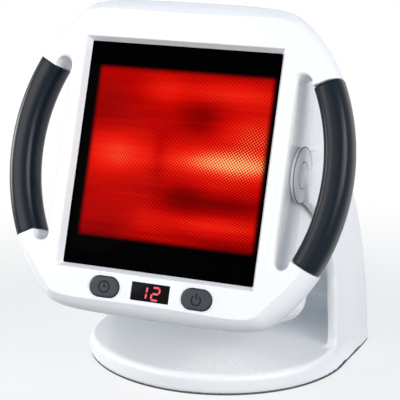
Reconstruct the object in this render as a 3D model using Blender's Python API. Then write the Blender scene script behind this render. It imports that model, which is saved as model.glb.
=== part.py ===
# Infrared heat therapy lamp: a heater head tilting between the two arms of a one-piece stand.
# Metres, +Z up. The head is drawn in its own frame: x to the right, n backwards from the front of the
# glass, v up along the glass. The stand is drawn from the foot of the pivot: x, y backwards, z up.
import bpy
import bmesh
from math import asin, atan2, cos, pi, radians, sin, sqrt, tau
from mathutils import Vector

# Fits
CLEAR = 0.0003
OVERRUN = 0.002
WELD = 0.000003
ROUND_STEPS = 18
SMALL_STEPS = 10
ROUNDED_STEPS = 4

# Pivot, seen from the glass centre and from the floor
PIVOT_N = 0.036
PIVOT_V = 0.0017
PIVOT_HEIGHT = 0.1673
HEAD_TILT = radians(20)

# Glass
GLASS_SIGHT_X = 0.075
GLASS_SIGHT_V = 0.083
GLASS_LAP = 0.004
GLASS_THICK = 0.004
GLASS_CORNER = 0.003

# Bezel outline: the widest line and the edge of the front face, each as two curves for a quarter
BEZEL_HALF_X = 0.1342
BEZEL_HALF_V = 0.1178
CORNER_X = 0.0836
CORNER_V = 0.1081
CORNER_LEAN = radians(55)
TOP_REACH = 0.0617
TOP_TURN = 0.0119
SIDE_TURN = 0.0230
SIDE_REACH = 0.0584
FACE_HALF_X = 0.1282
FACE_HALF_V = 0.1087
FACE_CORNER_X = 0.0840
FACE_CORNER_V = 0.1018
FACE_LEAN = radians(38)
FACE_TOP_REACH = 0.0596
FACE_TOP_TURN = 0.0113
FACE_SIDE_TURN = 0.0213
FACE_SIDE_REACH = 0.0632
QUARTER_STEPS = 6

# Bezel depths
RECESS = 0.006
RECESS_DRAFT = 0.0032
WIDEST_N = 0.008
BEZEL_REAR_N = 0.022
FACE_EDGE_R = 0.002
REAR_INSET = 0.0045
FLANK_START = radians(30)
FACE_THICK = 0.0028
CAVITY_HALF_X = 0.0833
CAVITY_HALF_V = 0.1060
CAVITY_CORNER = 0.020
POST_HOLE_R = 0.0019

# Finger slots
SLOT_FRONT_X = 0.0890
SLOT_REAR_X = 0.0860
SLOT_DRAFT_END_N = 0.012
SLOT_HALF_V = 0.069
SLOT_END_R = 0.006
SLOT_GRIP_LAP = 0.001

# Hand grips: rubber sleeves bent on one arc round the bezel's side bars
GRIP_ARC_R = 0.1480
GRIP_MID_X = 0.1236
GRIP_END_V = 0.065
GRIP_WIDE = 0.0212
GRIP_DEEP = 0.0260
GRIP_N = 0.010
GRIP_POWER = 2.7
CORE_WIDE = 0.0152
CORE_DEEP = 0.0180
CORE_POWER = 4.0
POCKET_WIDE = 0.030
POCKET_DEEP = 0.044
GRIP_STEPS = 12
GRIP_SIDES = 14

# Buttons and display
BUTTON_X = 0.0363
BUTTON_V = -0.0971
BUTTON_HALF_X = 0.0115
BUTTON_HALF_V = 0.0073
BUTTON_GAP = 0.0006
BUTTON_PROUD = 0.0008
BUTTON_RIM = 0.0011
BUTTON_RIM_THICK = 0.0012
BUTTON_CROWN = 0.0007
BUTTON_STEM_R = 0.0022
BUTTON_TRAVEL = 0.0012
WINDOW_HALF_X = 0.01475
WINDOW_HALF_V = 0.00635
WINDOW_V = -0.0970
WINDOW_SUNK = 0.0003
WINDOW_THICK = 0.0022
MODULE_HALF_X = 0.0138
MODULE_HALF_V = 0.0060
BOARD_FRONT_N = 0.0060
BOARD_THICK = 0.0016
BOARD_HALF_V = 0.0068
BOARD_POST_X = 0.0535
BOARD_POST_R = 0.0027
BOARD_SCREW_R = 0.0012
BOARD_SCREW_HEAD_R = 0.0022
BOARD_SCREW_HEAD = 0.0014
SWITCH_HALF = 0.0030
SWITCH_BODY = 0.0032

# Glass frame
FRAME_GASKET = 0.0014
FRAME_HALF_X = 0.0790
FRAME_HALF_V = 0.0870
FRAME_OPEN_X = 0.0700
FRAME_OPEN_V = 0.0750
FRAME_THICK = 0.0015
EAR_X = 0.0600
EAR_HALF = 0.0038
EAR_V = 0.0935
EAR_POST_V = 0.0903
EAR_POST_R = 0.0026
EAR_SCREW_R = 0.0014
EAR_SCREW_HEAD_R = 0.0026
EAR_SCREW_HEAD = 0.0018
BOARD_HALF_X = EAR_X - EAR_HALF - 2 * CLEAR

# Reflector, heater and heat shield
REFLECTOR_HALF_X = 0.0702
REFLECTOR_THICK = 0.0008
REFLECTOR_RIM_V = 0.0765
REFLECTOR_LIP_V = 0.0690
REFLECTOR_BEND_V = 0.0420
REFLECTOR_BEND_N = 0.0300
REFLECTOR_VALLEY_V = 0.0150
REFLECTOR_VALLEY_N = 0.0370
REFLECTOR_RIDGE_N = 0.0300
HEATER_N = 0.0200
TUBE_R = 0.0055
TUBE_BORE_R = 0.0043
TUBE_HALF_X = 0.0740
FILAMENT_R = 0.0012
FILAMENT_HALF_X = 0.0768
HOLDER_HALF_X = 0.0029
HOLDER_HALF_V = 0.0085
HOLDER_HALF_N = 0.0070
SHIELD_FLANGE_X = 0.0708
SHIELD_THICK = 0.0008
SHIELD_HALF_V = 0.0800
SHIELD_BACK_N = 0.0600
CUTOUT_R = 0.0080
CUTOUT_THICK = 0.0050
CUTOUT_V = 0.0300

# Rear housing: half sizes at four depths, then a rounded back
HOUSING_WALL = 0.0026
HOUSING_FRONT_X = 0.0860
HOUSING_VALLEY_X = 0.0838
HOUSING_REAR_X = 0.0859
HOUSING_BACK_X = 0.0800
HOUSING_FRONT_V = 0.1105
HOUSING_VALLEY_V = 0.1095
HOUSING_REAR_V = 0.1065
HOUSING_BACK_V = 0.1000
HOUSING_VALLEY_N = 0.0580
HOUSING_REAR_N = 0.0910
HOUSING_BACK_N = 0.1000
HOUSING_CORNER = 0.0180
POST_X = 0.0690
POST_V = 0.0920
POST_R = 0.0056
POST_BORE_R = 0.0041
POST_WEB = 0.0045
BEZEL_POST_R = 0.0042
HOUSING_SCREW_R = 0.0016
HOUSING_SCREW_HEAD_R = 0.0037
HOUSING_SCREW_HEAD = 0.0024
HOUSING_SCREW_TIP_N = 0.0080
SLOT_ROWS_UPPER = 6
SLOT_ROWS_LOWER = 3
VENT_PITCH = 0.0090
VENT_HALF_X = 0.0420
VENT_HALF = 0.0016
VENT_UPPER_V = 0.0180
VENT_LOWER_V = -0.0560
TOP_VENTS = 7
TOP_VENT_PITCH = 0.0150
TOP_VENT_FRONT_N = 0.0420
TOP_VENT_REAR_N = 0.0800
GLAND_V = -0.0810
GLAND_R = 0.0060
GLAND_FLANGE_R = 0.0090
GLAND_FLANGE = 0.0030
GLAND_LENGTH = 0.0110
GLAND_BORE_R = 0.0036
TERMINAL_HALF_X = 0.0190
TERMINAL_HALF_V = 0.0075
TERMINAL_DEEP = 0.0140
TERMINAL_V = -0.0350

# Pivot stack on each side, as distances from the middle plane
ARM_INNER_X = 0.0865
POD_OUTER_X = 0.0895
POD_R = 0.0215
POD_PROUD = 0.0004
POD_SEAT = 0.0002
POD_CHAMFER = 0.0008
BOSS_R = 0.0135
BOSS_INNER_X = 0.0846
BOLT_R = 0.0052
BOLT_HEAD_R = 0.0092
BOLT_HEAD = 0.0015
BOLT_END = 0.0010
CAP_R = 0.0097
CAP_THICK = 0.0010
CAP_DOME = 0.0006
WASHER_THICK = 0.0010
WASHER_R = 0.0125
PAD_R = 0.0150
PAD_THICK = 0.0034
BUSH_R = 0.0078
BUSH_FLANGE_R = 0.0110
BUSH_FLANGE = 0.0012
SPRING_WASHER_R = 0.0085
SPRING_WASHER = 0.0007
NUT_R = 0.0080
NUT_THICK = 0.0032
NUT_SIDES = 6

# Stand
FOOT_HALF_X = 0.1060
FOOT_CENTRE_Y = 0.0606
FOOT_FRONT_REACH = 0.0990
STAND_REAR_Y = 0.1506
STAND_CORNER = 0.0380
FOOT_HEIGHT = 0.0160
FOOT_LIP_R = 0.0042
FOOT_STEPS = 20
FOOT_EDGE = 0.0012
FOOT_TOP_THICK = 0.0040
FOOT_WALL = 0.0045
FLOOR_GAP = 0.0015
ARM_TOP = 0.1810
ARM_POWER = 2.4
ARM_FLARE = 0.0169
FLARE_POWER = 1.5
WALL = 0.0075
INNER_FILLET = 0.0260
CORNER_TOP = 0.0040
CORNER_FADE = 0.1500
CORNER_POWER = 0.8
ARM_FRONT_LOW_Y = 0.0560
ARM_FRONT_Y = 0.0575
ARM_FRONT_DROP = 0.1000
ARM_FRONT_REACH = 0.0420
ARM_POD_Y = 0.0030
ARM_POD_DROP = 0.0213
ARM_POD_REACH_Y = 0.0250
ARM_POD_REACH_Z = 0.0117
TOE_FILLET = 0.0140
BACK_RIM = 0.0750
BACK_FLAT_X = 0.0365
BACK_CURVE_Z = 0.0600
STAND_LEVELS = 11
CORNER_STEPS = 5
BASE_CLEAR = 0.0004
BASE_THICK = 0.0025
BASE_UNDER = 0.0020
PAD_FOOT_R = 0.0090
PAD_FOOT_THICK = 0.0017
PAD_FRONT_X = 0.0560
PAD_FRONT_Y = 0.0000
PAD_REAR_X = 0.0740
PAD_REAR_Y = 0.1240
BASE_BOSS_R = 0.0048
BASE_BOSS_X = 0.0740
BASE_BOSS_FRONT_Y = 0.0300
BASE_BOSS_REAR_Y = 0.0960
BASE_SCREW_R = 0.0016
BASE_SCREW_HEAD_R = 0.0034
BASE_SCREW_HEAD = 0.0010
BASE_SCREW_BITE = 0.0060

SIDES = {"left": -1, "right": 1}
FINISHES = {
    "white_shell": ((0.88, 0.89, 0.91), 0.28, 0.0),
    "grip_rubber": ((0.035, 0.05, 0.07), 0.55, 0.0),
    "button_plastic": ((0.06, 0.06, 0.075), 0.42, 0.0),
    "dark_glass": ((0.012, 0.010, 0.010), 0.06, 0.0),
    "display_pane": ((0.008, 0.006, 0.006), 0.12, 0.0),
    "silicone": ((0.08, 0.08, 0.08), 0.70, 0.0),
    "steel": ((0.62, 0.62, 0.63), 0.32, 1.0),
    "bright_aluminium": ((0.82, 0.82, 0.84), 0.16, 1.0),
    "quartz": ((0.80, 0.34, 0.22), 0.08, 0.0),
    "filament_wire": ((0.30, 0.16, 0.10), 0.45, 1.0),
    "ceramic": ((0.80, 0.77, 0.70), 0.65, 0.0),
    "board_green": ((0.03, 0.16, 0.08), 0.55, 0.0),
    "black_plastic": ((0.03, 0.03, 0.03), 0.45, 0.0),
    "brass": ((0.72, 0.55, 0.28), 0.30, 1.0),
    "acetal": ((0.75, 0.74, 0.70), 0.45, 0.0),
}


def material(name):
    """Principled material of one finish."""
    if name in bpy.data.materials:
        return bpy.data.materials[name]
    colour, roughness, metallic = FINISHES[name]
    made = bpy.data.materials.new(name)
    made.use_nodes = True
    shader = made.node_tree.nodes["Principled BSDF"]
    shader.inputs["Base Color"].default_value = (*colour, 1.0)
    shader.inputs["Roughness"].default_value = roughness
    shader.inputs["Metallic"].default_value = metallic
    return made


def solid(name, shape, finish):
    """Object from a closed bmesh, with faces pointing out and soft shading on its round parts."""
    bmesh.ops.recalc_face_normals(shape, faces=shape.faces)
    mesh = bpy.data.meshes.new(name)
    shape.to_mesh(mesh)
    shape.free()
    made = bpy.data.objects.new(name, mesh)
    bpy.context.scene.collection.objects.link(made)
    mesh.materials.append(material(finish))
    mesh.shade_smooth()
    mesh.set_sharp_from_angle(angle=radians(35))
    return made


def carve(target, shape, operation):
    """Union or difference with a cutter drawn in the target's own frame."""
    cutter = solid(target.name + "_cutter", shape, "steel")
    cutter.hide_render = True
    cutter.display_type = "WIRE"
    step = target.modifiers.new("carve", "BOOLEAN")
    step.operation = operation
    step.solver = "EXACT"
    step.object = cutter
    bpy.context.view_layer.update()
    seen = target.evaluated_get(bpy.context.evaluated_depsgraph_get())
    result = bpy.data.meshes.new_from_object(seen)
    target.modifiers.clear()
    tidy = bmesh.new()
    tidy.from_mesh(result)
    bmesh.ops.remove_doubles(tidy, verts=tidy.verts, dist=WELD)
    bmesh.ops.dissolve_degenerate(tidy, edges=tidy.edges, dist=WELD)
    tidy.to_mesh(result)
    tidy.free()
    target.data = result
    bpy.data.objects.remove(cutter)
    return target


def join(*shapes):
    """One bmesh holding several shapes that don't touch."""
    whole = bmesh.new()
    for shape in shapes:
        part = bpy.data.meshes.new("part")
        shape.to_mesh(part)
        whole.from_mesh(part)
        shape.free()
        bpy.data.meshes.remove(part)
    return whole


def mirrored(build):
    """A shape built on the right, with its mirror image on the left."""
    left = build()
    for vert in left.verts:
        vert.co.x = -vert.co.x
    bmesh.ops.reverse_faces(left, faces=left.faces)
    return join(build(), left)


def loft(rings):
    """Closed body through rings of equal length, with a flat face at each end."""
    shape = bmesh.new()
    rows = [[shape.verts.new(point) for point in ring] for ring in rings]
    for low, high in zip(rows, rows[1:]):
        count = len(low)
        for i in range(count):
            j = (i + 1) % count
            shape.faces.new((low[i], low[j], high[j], high[i]))
    shape.faces.new(list(reversed(rows[0])))
    shape.faces.new(rows[-1])
    bmesh.ops.recalc_face_normals(shape, faces=shape.faces)
    return shape


def shell(outer, inner):
    """Open cup between two lofts of equal rings: both start at the mouth and end in a flat back."""
    shape = bmesh.new()
    out_rows = [[shape.verts.new(point) for point in ring] for ring in outer]
    in_rows = [[shape.verts.new(point) for point in ring] for ring in inner]
    count = len(outer[0])
    for rows in (out_rows, in_rows, [out_rows[0], in_rows[0]]):
        for low, high in zip(rows, rows[1:]):
            for i in range(count):
                j = (i + 1) % count
                shape.faces.new((low[i], low[j], high[j], high[i]))
    shape.faces.new(out_rows[-1])
    shape.faces.new(in_rows[-1])
    return shape


def prism_n(outline, front, back):
    """Outline in x and v, drawn out along n."""
    return loft([[(x, n, v) for x, v in outline] for n in (front, back)])


def prism_x(outline, low, high):
    """Outline in n and v (or y and z), drawn out along x."""
    return loft([[(x, a, b) for a, b in outline] for x in (low, high)])


def rectangle(half_x, half_v, x=0, v=0):
    return [(x - half_x, v - half_v), (x + half_x, v - half_v),
            (x + half_x, v + half_v), (x - half_x, v + half_v)]


def rounded(half_x, half_v, corner, steps=ROUNDED_STEPS, x=0, v=0):
    """Rectangle with round corners; a corner as large as the half height makes a pill."""
    points = []
    for turn, (sx, sv) in enumerate(((1, 1), (-1, 1), (-1, -1), (1, -1))):
        for i in range(steps + 1):
            angle = (turn + i / steps) * pi / 2
            points.append((x + sx * (half_x - corner) + corner * cos(angle),
                           v + sv * (half_v - corner) + corner * sin(angle)))
    return points


def turned(profile, axis, centre=(0, 0), steps=ROUND_STEPS, phase=0.0):
    """Solid of revolution: pairs of place along the axis and radius, closed where the radius is zero.

    centre gives the two other coordinates of the axis, in x, n (y), v (z) order. A profile whose
    first and last radius aren't zero is closed into a ring.
    """
    shape = bmesh.new()

    def point(along, radius, angle):
        a = centre[0] + radius * cos(angle)
        b = centre[1] + radius * sin(angle)
        return {"x": (along, a, b), "n": (a, along, b), "z": (a, b, along)}[axis]

    rows = []
    for along, radius in profile:
        if radius == 0:
            rows.append([shape.verts.new(point(along, 0, 0))])
        else:
            angles = [phase + tau * i / steps for i in range(steps)]
            rows.append([shape.verts.new(point(along, radius, angle)) for angle in angles])
    if profile[0][1] > 0:
        rows.append(rows[0])
    for low, high in zip(rows, rows[1:]):
        for i in range(steps):
            j = (i + 1) % steps
            if len(low) == 1:
                shape.faces.new((low[0], high[j], high[i]))
            elif len(high) == 1:
                shape.faces.new((low[i], low[j], high[0]))
            else:
                shape.faces.new((low[i], low[j], high[j], high[i]))
    bmesh.ops.recalc_face_normals(shape, faces=shape.faces)
    return shape


def rod(axis, radius, low, high, centre=(0, 0), steps=ROUND_STEPS, phase=0.0):
    return turned([(low, 0), (low, radius), (high, radius), (high, 0)], axis, centre, steps, phase)


def tube(axis, outer, bore, low, high, centre=(0, 0), steps=ROUND_STEPS):
    return turned([(low, bore), (low, outer), (high, outer), (high, bore)], axis, centre, steps)


def through_hole(axis, radius, low, high, centre, steps=SMALL_STEPS):
    """Cutter for a hole that clears a shank of this radius, running past both faces."""
    return rod(axis, radius + CLEAR, low - OVERRUN, high + OVERRUN, centre, steps)


def bezier(a, b, c, d, steps):
    """Cubic curve, without its last point."""
    points = []
    for i in range(steps):
        t = i / steps
        k = ((1 - t) ** 3, 3 * (1 - t) ** 2 * t, 3 * (1 - t) * t ** 2, t ** 3)
        points.append(tuple(sum(w * p[axis] for w, p in zip(k, (a, b, c, d))) for axis in (0, 1)))
    return points


def quarters(half_x, half_v, corner_x, corner_v, lean, top_reach, top_turn, side_turn, side_reach):
    """Closed outline from one quarter: a curve from the top to the corner, and one on to the side."""
    along = (sin(lean), -cos(lean))
    corner = (corner_x, corner_v)
    top = bezier((0, half_v), (top_reach, half_v),
                 (corner_x - top_turn * along[0], corner_v - top_turn * along[1]), corner, QUARTER_STEPS)
    side = bezier(corner, (corner_x + side_turn * along[0], corner_v + side_turn * along[1]),
                  (half_x, side_reach), (half_x, 0), QUARTER_STEPS)
    quarter = top + side
    right_low = [(x, -v) for x, v in reversed(quarter[1:])]
    left_low = [(-x, -v) for x, v in quarter]
    left_high = [(-x, v) for x, v in reversed(quarter[1:])]
    return quarter + [(half_x, 0)] + right_low + left_low + [(-half_x, 0)] + left_high


def offset(outline, distance):
    """Outline moved outwards along its normals; it runs clockwise, seen with v up."""
    count = len(outline)
    moved = []
    for i, (x, v) in enumerate(outline):
        ax, av = outline[i - 1]
        bx, bv = outline[(i + 1) % count]
        along = Vector((bx - ax, bv - av)).normalized()
        moved.append((x - along.y * distance, v + along.x * distance))
    return moved


def blend(first, second, share):
    return [(a[0] + (b[0] - a[0]) * share, a[1] + (b[1] - a[1]) * share) for a, b in zip(first, second)]


def superellipse(half_a, half_b, power, count):
    """Rounded section: |a|^power + |b|^power = 1."""
    points = []
    for i in range(count):
        c, s = cos(tau * i / count), sin(tau * i / count)
        points.append((half_a * abs(c) ** (2 / power) * (1 if c >= 0 else -1),
                       half_b * abs(s) ** (2 / power) * (1 if s >= 0 else -1)))
    return points


GRIP_CENTRE_X = GRIP_MID_X - GRIP_ARC_R
GRIP_ANGLE = asin(GRIP_END_V / GRIP_ARC_R)


def bent_sleeve(outer, inner, half_angle):
    """Right-hand sleeve along the grip's arc, between two sections of equal point count."""
    shape = bmesh.new()
    rows = []
    for i in range(GRIP_STEPS + 1):
        angle = half_angle * (2 * i / GRIP_STEPS - 1)
        row = []
        for section in (outer, inner):
            row.append([shape.verts.new((GRIP_CENTRE_X + (GRIP_ARC_R + a) * cos(angle), GRIP_N + b,
                                         (GRIP_ARC_R + a) * sin(angle))) for a, b in section])
        rows.append(row)
    count = len(outer)
    for j in range(count):
        k = (j + 1) % count
        for low, high in zip(rows, rows[1:]):
            for skin in (0, 1):
                shape.faces.new((low[skin][j], low[skin][k], high[skin][k], high[skin][j]))
        for end in (rows[0], rows[-1]):
            shape.faces.new((end[0][j], end[0][k], end[1][k], end[1][j]))
    bmesh.ops.recalc_face_normals(shape, faces=shape.faces)
    return shape


# Head

FRONT_N = -RECESS
PLATE_BACK_N = FRONT_N + FACE_THICK


def bezel_rings():
    """Rings from the front face over the flank to the rear edge."""
    face = quarters(FACE_HALF_X, FACE_HALF_V, FACE_CORNER_X, FACE_CORNER_V, FACE_LEAN,
                    FACE_TOP_REACH, FACE_TOP_TURN, FACE_SIDE_TURN, FACE_SIDE_REACH)
    widest = quarters(BEZEL_HALF_X, BEZEL_HALF_V, CORNER_X, CORNER_V, CORNER_LEAN,
                      TOP_REACH, TOP_TURN, SIDE_TURN, SIDE_REACH)
    rings = []
    for i in range(3):
        angle = i / 3 * pi / 2
        drawn_in = FACE_EDGE_R * (1 - sin(angle))
        rings.append((offset(face, -drawn_in), FRONT_N + FACE_EDGE_R * (1 - cos(angle))))
    flank_front = FRONT_N + FACE_EDGE_R
    for i in range(5):
        angle = FLANK_START + (pi / 2 - FLANK_START) * i / 4
        out = (sin(angle) - sin(FLANK_START)) / (1 - sin(FLANK_START))
        back = 1 - cos(angle) / cos(FLANK_START)
        rings.append((blend(face, widest, out), flank_front + (WIDEST_N - flank_front) * back))
    for i in range(1, 4):
        angle = i / 3 * pi / 2
        drawn_in = REAR_INSET * (1 - cos(angle))
        rings.append((offset(widest, -drawn_in), WIDEST_N + (BEZEL_REAR_N - WIDEST_N) * sin(angle)))
    return [[(x, n, v) for x, v in outline] for outline, n in rings]


def slot_ring(edge_x, n):
    """Finger slot at one depth: straight beside the glass, and round along the grip."""
    end_v = SLOT_HALF_V - SLOT_END_R
    end_x = SLOT_FRONT_X + SLOT_END_R
    points = [(edge_x, n, -end_v), (edge_x, n, end_v)]
    for i in range(1, 6):
        angle = pi - i / 5 * pi
        points.append((end_x + SLOT_END_R * cos(angle), n, end_v + SLOT_END_R * sin(angle)))
    reach = GRIP_ARC_R - GRIP_WIDE / 2 + SLOT_GRIP_LAP
    limit = asin((end_v - SLOT_END_R) / reach)
    for i in range(9):
        angle = limit * (1 - i / 4)
        points.append((GRIP_CENTRE_X + reach * cos(angle), n, reach * sin(angle)))
    for i in range(5):
        angle = -i / 5 * pi
        points.append((end_x + SLOT_END_R * cos(angle), n, -end_v + SLOT_END_R * sin(angle)))
    return points


def finger_slot():
    return loft([slot_ring(SLOT_FRONT_X, FRONT_N - OVERRUN), slot_ring(SLOT_FRONT_X, FRONT_N + OVERRUN / 2),
                 slot_ring(SLOT_REAR_X, SLOT_DRAFT_END_N), slot_ring(SLOT_REAR_X, BEZEL_REAR_N + OVERRUN)])


def grip_pocket():
    """Space that the grip takes, with the bezel's core bar left in its middle."""
    core = superellipse(CORE_WIDE / 2, CORE_DEEP / 2, CORE_POWER, GRIP_SIDES)
    space = superellipse(POCKET_WIDE / 2, POCKET_DEEP / 2, CORE_POWER * 2, GRIP_SIDES)
    return bent_sleeve(space, core, GRIP_ANGLE + CLEAR / GRIP_ARC_R)


def corners(x, v):
    return [(sx * x, sv * v) for sx in (-1, 1) for sv in (-1, 1)]


def four(build, x, v):
    """The same shape at four corners."""
    return join(*[build(at) for at in corners(x, v)])


def copies(name, build, places, finish):
    """One object for each place, numbered from 1."""
    return [solid(f"{name}_{i}", build(at), finish) for i, at in enumerate(places, 1)]


def front_bezel():
    bezel = solid("front_bezel", loft(bezel_rings()), "white_shell")
    cavity = rounded(CAVITY_HALF_X, CAVITY_HALF_V, CAVITY_CORNER)
    carve(bezel, prism_n(cavity, -CLEAR, BEZEL_REAR_N + OVERRUN), "DIFFERENCE")
    trough_v = GLASS_SIGHT_V + GLASS_LAP + CLEAR
    trough_half = (CAVITY_HALF_V - trough_v) / 2
    trough_x = CAVITY_HALF_X - CAVITY_CORNER
    middle_v = trough_v + trough_half
    outlines = [rectangle(trough_x, trough_half, 0, v) for v in (-middle_v, middle_v)]
    carve(bezel, join(*[prism_n(outline, PLATE_BACK_N, OVERRUN) for outline in outlines]), "DIFFERENCE")
    slope = RECESS_DRAFT / RECESS
    mouth = [[(x, n, v) for x, v in rectangle(GLASS_SIGHT_X - slope * n, GLASS_SIGHT_V - slope * n)]
             for n in (FRONT_N - OVERRUN, OVERRUN)]
    carve(bezel, loft(mouth), "DIFFERENCE")
    carve(bezel, mirrored(finger_slot), "DIFFERENCE")
    carve(bezel, mirrored(grip_pocket), "DIFFERENCE")
    hole = rounded(BUTTON_HALF_X + BUTTON_GAP, BUTTON_HALF_V + BUTTON_GAP, BUTTON_HALF_V + BUTTON_GAP)
    outlines = [[(x + at_x, v + at_v) for x, v in hole] for at_x, at_v in pair(BUTTON_X)]
    outlines.append(rectangle(WINDOW_HALF_X + CLEAR, WINDOW_HALF_V + CLEAR, 0, WINDOW_V))
    openings = [prism_n(outline, FRONT_N - OVERRUN, PLATE_BACK_N + OVERRUN) for outline in outlines]
    carve(bezel, join(*openings), "DIFFERENCE")
    plate = PLATE_BACK_N - CLEAR
    ear_n = frame_front() - CLEAR
    posts = [four(lambda at: rod("n", BEZEL_POST_R, plate, BEZEL_REAR_N, at, SMALL_STEPS), POST_X, POST_V),
             four(lambda at: rod("n", EAR_POST_R, plate, ear_n, at, SMALL_STEPS), EAR_X, EAR_POST_V)]
    board_n = BOARD_FRONT_N - CLEAR
    posts += [rod("n", BOARD_POST_R, plate, board_n, at, SMALL_STEPS) for at in pair(BOARD_POST_X)]
    carve(bezel, join(*posts), "UNION")
    front = HOUSING_SCREW_TIP_N - CLEAR
    back = BEZEL_REAR_N + OVERRUN
    holes = four(lambda at: rod("n", POST_HOLE_R, front, back, at, SMALL_STEPS), POST_X, POST_V)
    return carve(bezel, holes, "DIFFERENCE")


def frame_front():
    """Depth of the glass frame's front face, behind the glass and its gasket."""
    return GLASS_THICK + FRAME_GASKET + 2 * CLEAR


def glass_panel():
    outline = rounded(GLASS_SIGHT_X + GLASS_LAP, GLASS_SIGHT_V + GLASS_LAP, GLASS_CORNER, 3)
    return solid("glass_panel", prism_n(outline, 0, GLASS_THICK), "dark_glass")


def flat_ring(outer, inner, front, back):
    """Flat frame between two outlines of equal point count."""
    shape = bmesh.new()
    rows = [[shape.verts.new((x, n, v)) for x, v in outline] for outline, n in
            ((outer, front), (outer, back), (inner, back), (inner, front))]
    count = len(outer)
    for low, high in zip(rows, rows[1:] + rows[:1]):
        for i in range(count):
            j = (i + 1) % count
            shape.faces.new((low[i], low[j], high[j], high[i]))
    return shape


def glass_gasket():
    outer = rounded(FRAME_HALF_X - CLEAR, FRAME_HALF_V - CLEAR, GLASS_CORNER, 3)
    inner = rounded(FRAME_OPEN_X, FRAME_OPEN_V, GLASS_CORNER, 3)
    front = GLASS_THICK + CLEAR
    return solid("glass_gasket", flat_ring(outer, inner, front, front + FRAME_GASKET), "silicone")


def glass_frame():
    outer = rounded(FRAME_HALF_X, FRAME_HALF_V, GLASS_CORNER, 3)
    inner = rounded(FRAME_OPEN_X, FRAME_OPEN_V, GLASS_CORNER, 3)
    front = frame_front()
    back = front + FRAME_THICK
    frame = solid("glass_frame", flat_ring(outer, inner, front, back), "steel")
    ear_half_v = (EAR_V - FRAME_OPEN_V) / 2 - OVERRUN
    places = corners(EAR_X, EAR_V - ear_half_v)
    ears = [prism_n(rectangle(EAR_HALF, ear_half_v, *at), front, back) for at in places]
    carve(frame, join(*ears), "UNION")
    holes = [through_hole("n", EAR_SCREW_R, front, back, at) for at in corners(EAR_X, EAR_POST_V)]
    return carve(frame, join(*holes), "DIFFERENCE")


def screw(radius, head_r, head, under_head, tip, at, steps=SMALL_STEPS):
    """Round-headed screw along n: the head lies behind under_head, the shank runs forward to tip."""
    back = under_head + head
    return turned([(tip, 0), (tip, radius), (under_head, radius), (under_head, head_r),
                   (back - head / 3, head_r), (back, head_r * 2 / 3), (back, 0)], "n", at, steps)


def frame_screws():
    """Self-tapping screws; each presses its ear down on the end of a bezel post."""
    under = frame_front() + FRAME_THICK + CLEAR

    def build(at):
        return screw(EAR_SCREW_R, EAR_SCREW_HEAD_R, EAR_SCREW_HEAD, under, frame_front(), at)

    return copies("frame_screw", build, corners(EAR_X, EAR_POST_V), "steel")


def inner_front():
    """Depth at which the reflector's rims and the heat shield's edges bear on the glass frame."""
    return frame_front() + FRAME_THICK + CLEAR


def reflector():
    """Folded bright sheet: rim, sloping wall, valley and a low ridge behind the tube."""
    half = [(REFLECTOR_RIM_V, inner_front()), (REFLECTOR_LIP_V, inner_front()),
            (REFLECTOR_BEND_V, REFLECTOR_BEND_N), (REFLECTOR_VALLEY_V, REFLECTOR_VALLEY_N),
            (0, REFLECTOR_RIDGE_N)]
    line = half + [(-v, n) for v, n in reversed(half[:-1])]
    front = [(n, v) for v, n in line]
    back = [(n + REFLECTOR_THICK, v) for v, n in reversed(line)]
    return solid("reflector", prism_x(front + back, -REFLECTOR_HALF_X, REFLECTOR_HALF_X), "bright_aluminium")


def heat_shield():
    """U-shaped sheet round the reflector, open above and below for the air."""
    outer = SHIELD_FLANGE_X + SHIELD_THICK
    front = inner_front()
    back = SHIELD_BACK_N + SHIELD_THICK
    outline = [(-outer, front), (-SHIELD_FLANGE_X, front), (-SHIELD_FLANGE_X, SHIELD_BACK_N),
               (SHIELD_FLANGE_X, SHIELD_BACK_N), (SHIELD_FLANGE_X, front), (outer, front),
               (outer, back), (-outer, back)]
    shape = loft([[(x, n, v) for x, n in outline] for v in (-SHIELD_HALF_V, SHIELD_HALF_V)])
    shield = solid("heat_shield", shape, "steel")
    reach = outer + OVERRUN
    return carve(shield, rod("x", TUBE_R + CLEAR, -reach, reach, (HEATER_N, 0), 16), "DIFFERENCE")


def quartz_tube():
    shape = tube("x", TUBE_R, TUBE_BORE_R, -TUBE_HALF_X, TUBE_HALF_X, (HEATER_N, 0), 16)
    return solid("quartz_tube", shape, "quartz")


def filament():
    shape = rod("x", FILAMENT_R, -FILAMENT_HALF_X, FILAMENT_HALF_X, (HEATER_N, 0), 8)
    return solid("filament", shape, "filament_wire")


def ceramic_holder(side):
    """Block on the shield's flange, with a socket for the tube and a hole for the filament's end."""
    inner = SHIELD_FLANGE_X + SHIELD_THICK + CLEAR
    outer = inner + 2 * HOLDER_HALF_X
    outline = [(HEATER_N - HOLDER_HALF_N, -HOLDER_HALF_V), (HEATER_N + HOLDER_HALF_N, -HOLDER_HALF_V),
               (HEATER_N + HOLDER_HALF_N, HOLDER_HALF_V), (HEATER_N - HOLDER_HALF_N, HOLDER_HALF_V)]
    name = "ceramic_holder_left" if side < 0 else "ceramic_holder_right"
    block = solid(name, prism_x(outline, side * inner, side * outer), "ceramic")
    mouth = side * (inner - OVERRUN)
    floor = side * (TUBE_HALF_X + CLEAR)
    end = side * (FILAMENT_HALF_X + CLEAR)
    tube_hole = TUBE_R + CLEAR
    wire_hole = FILAMENT_R + CLEAR
    profile = [(mouth, 0), (mouth, tube_hole), (floor, tube_hole),
               (floor, wire_hole), (end, wire_hole), (end, 0)]
    return carve(block, turned(profile, "x", (HEATER_N, 0), 16), "DIFFERENCE")


def thermal_cutout():
    front = SHIELD_BACK_N + SHIELD_THICK + CLEAR
    shape = rod("n", CUTOUT_R, front, front + CUTOUT_THICK, (0, CUTOUT_V), 16)
    return solid("thermal_cutout", shape, "black_plastic")


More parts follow.
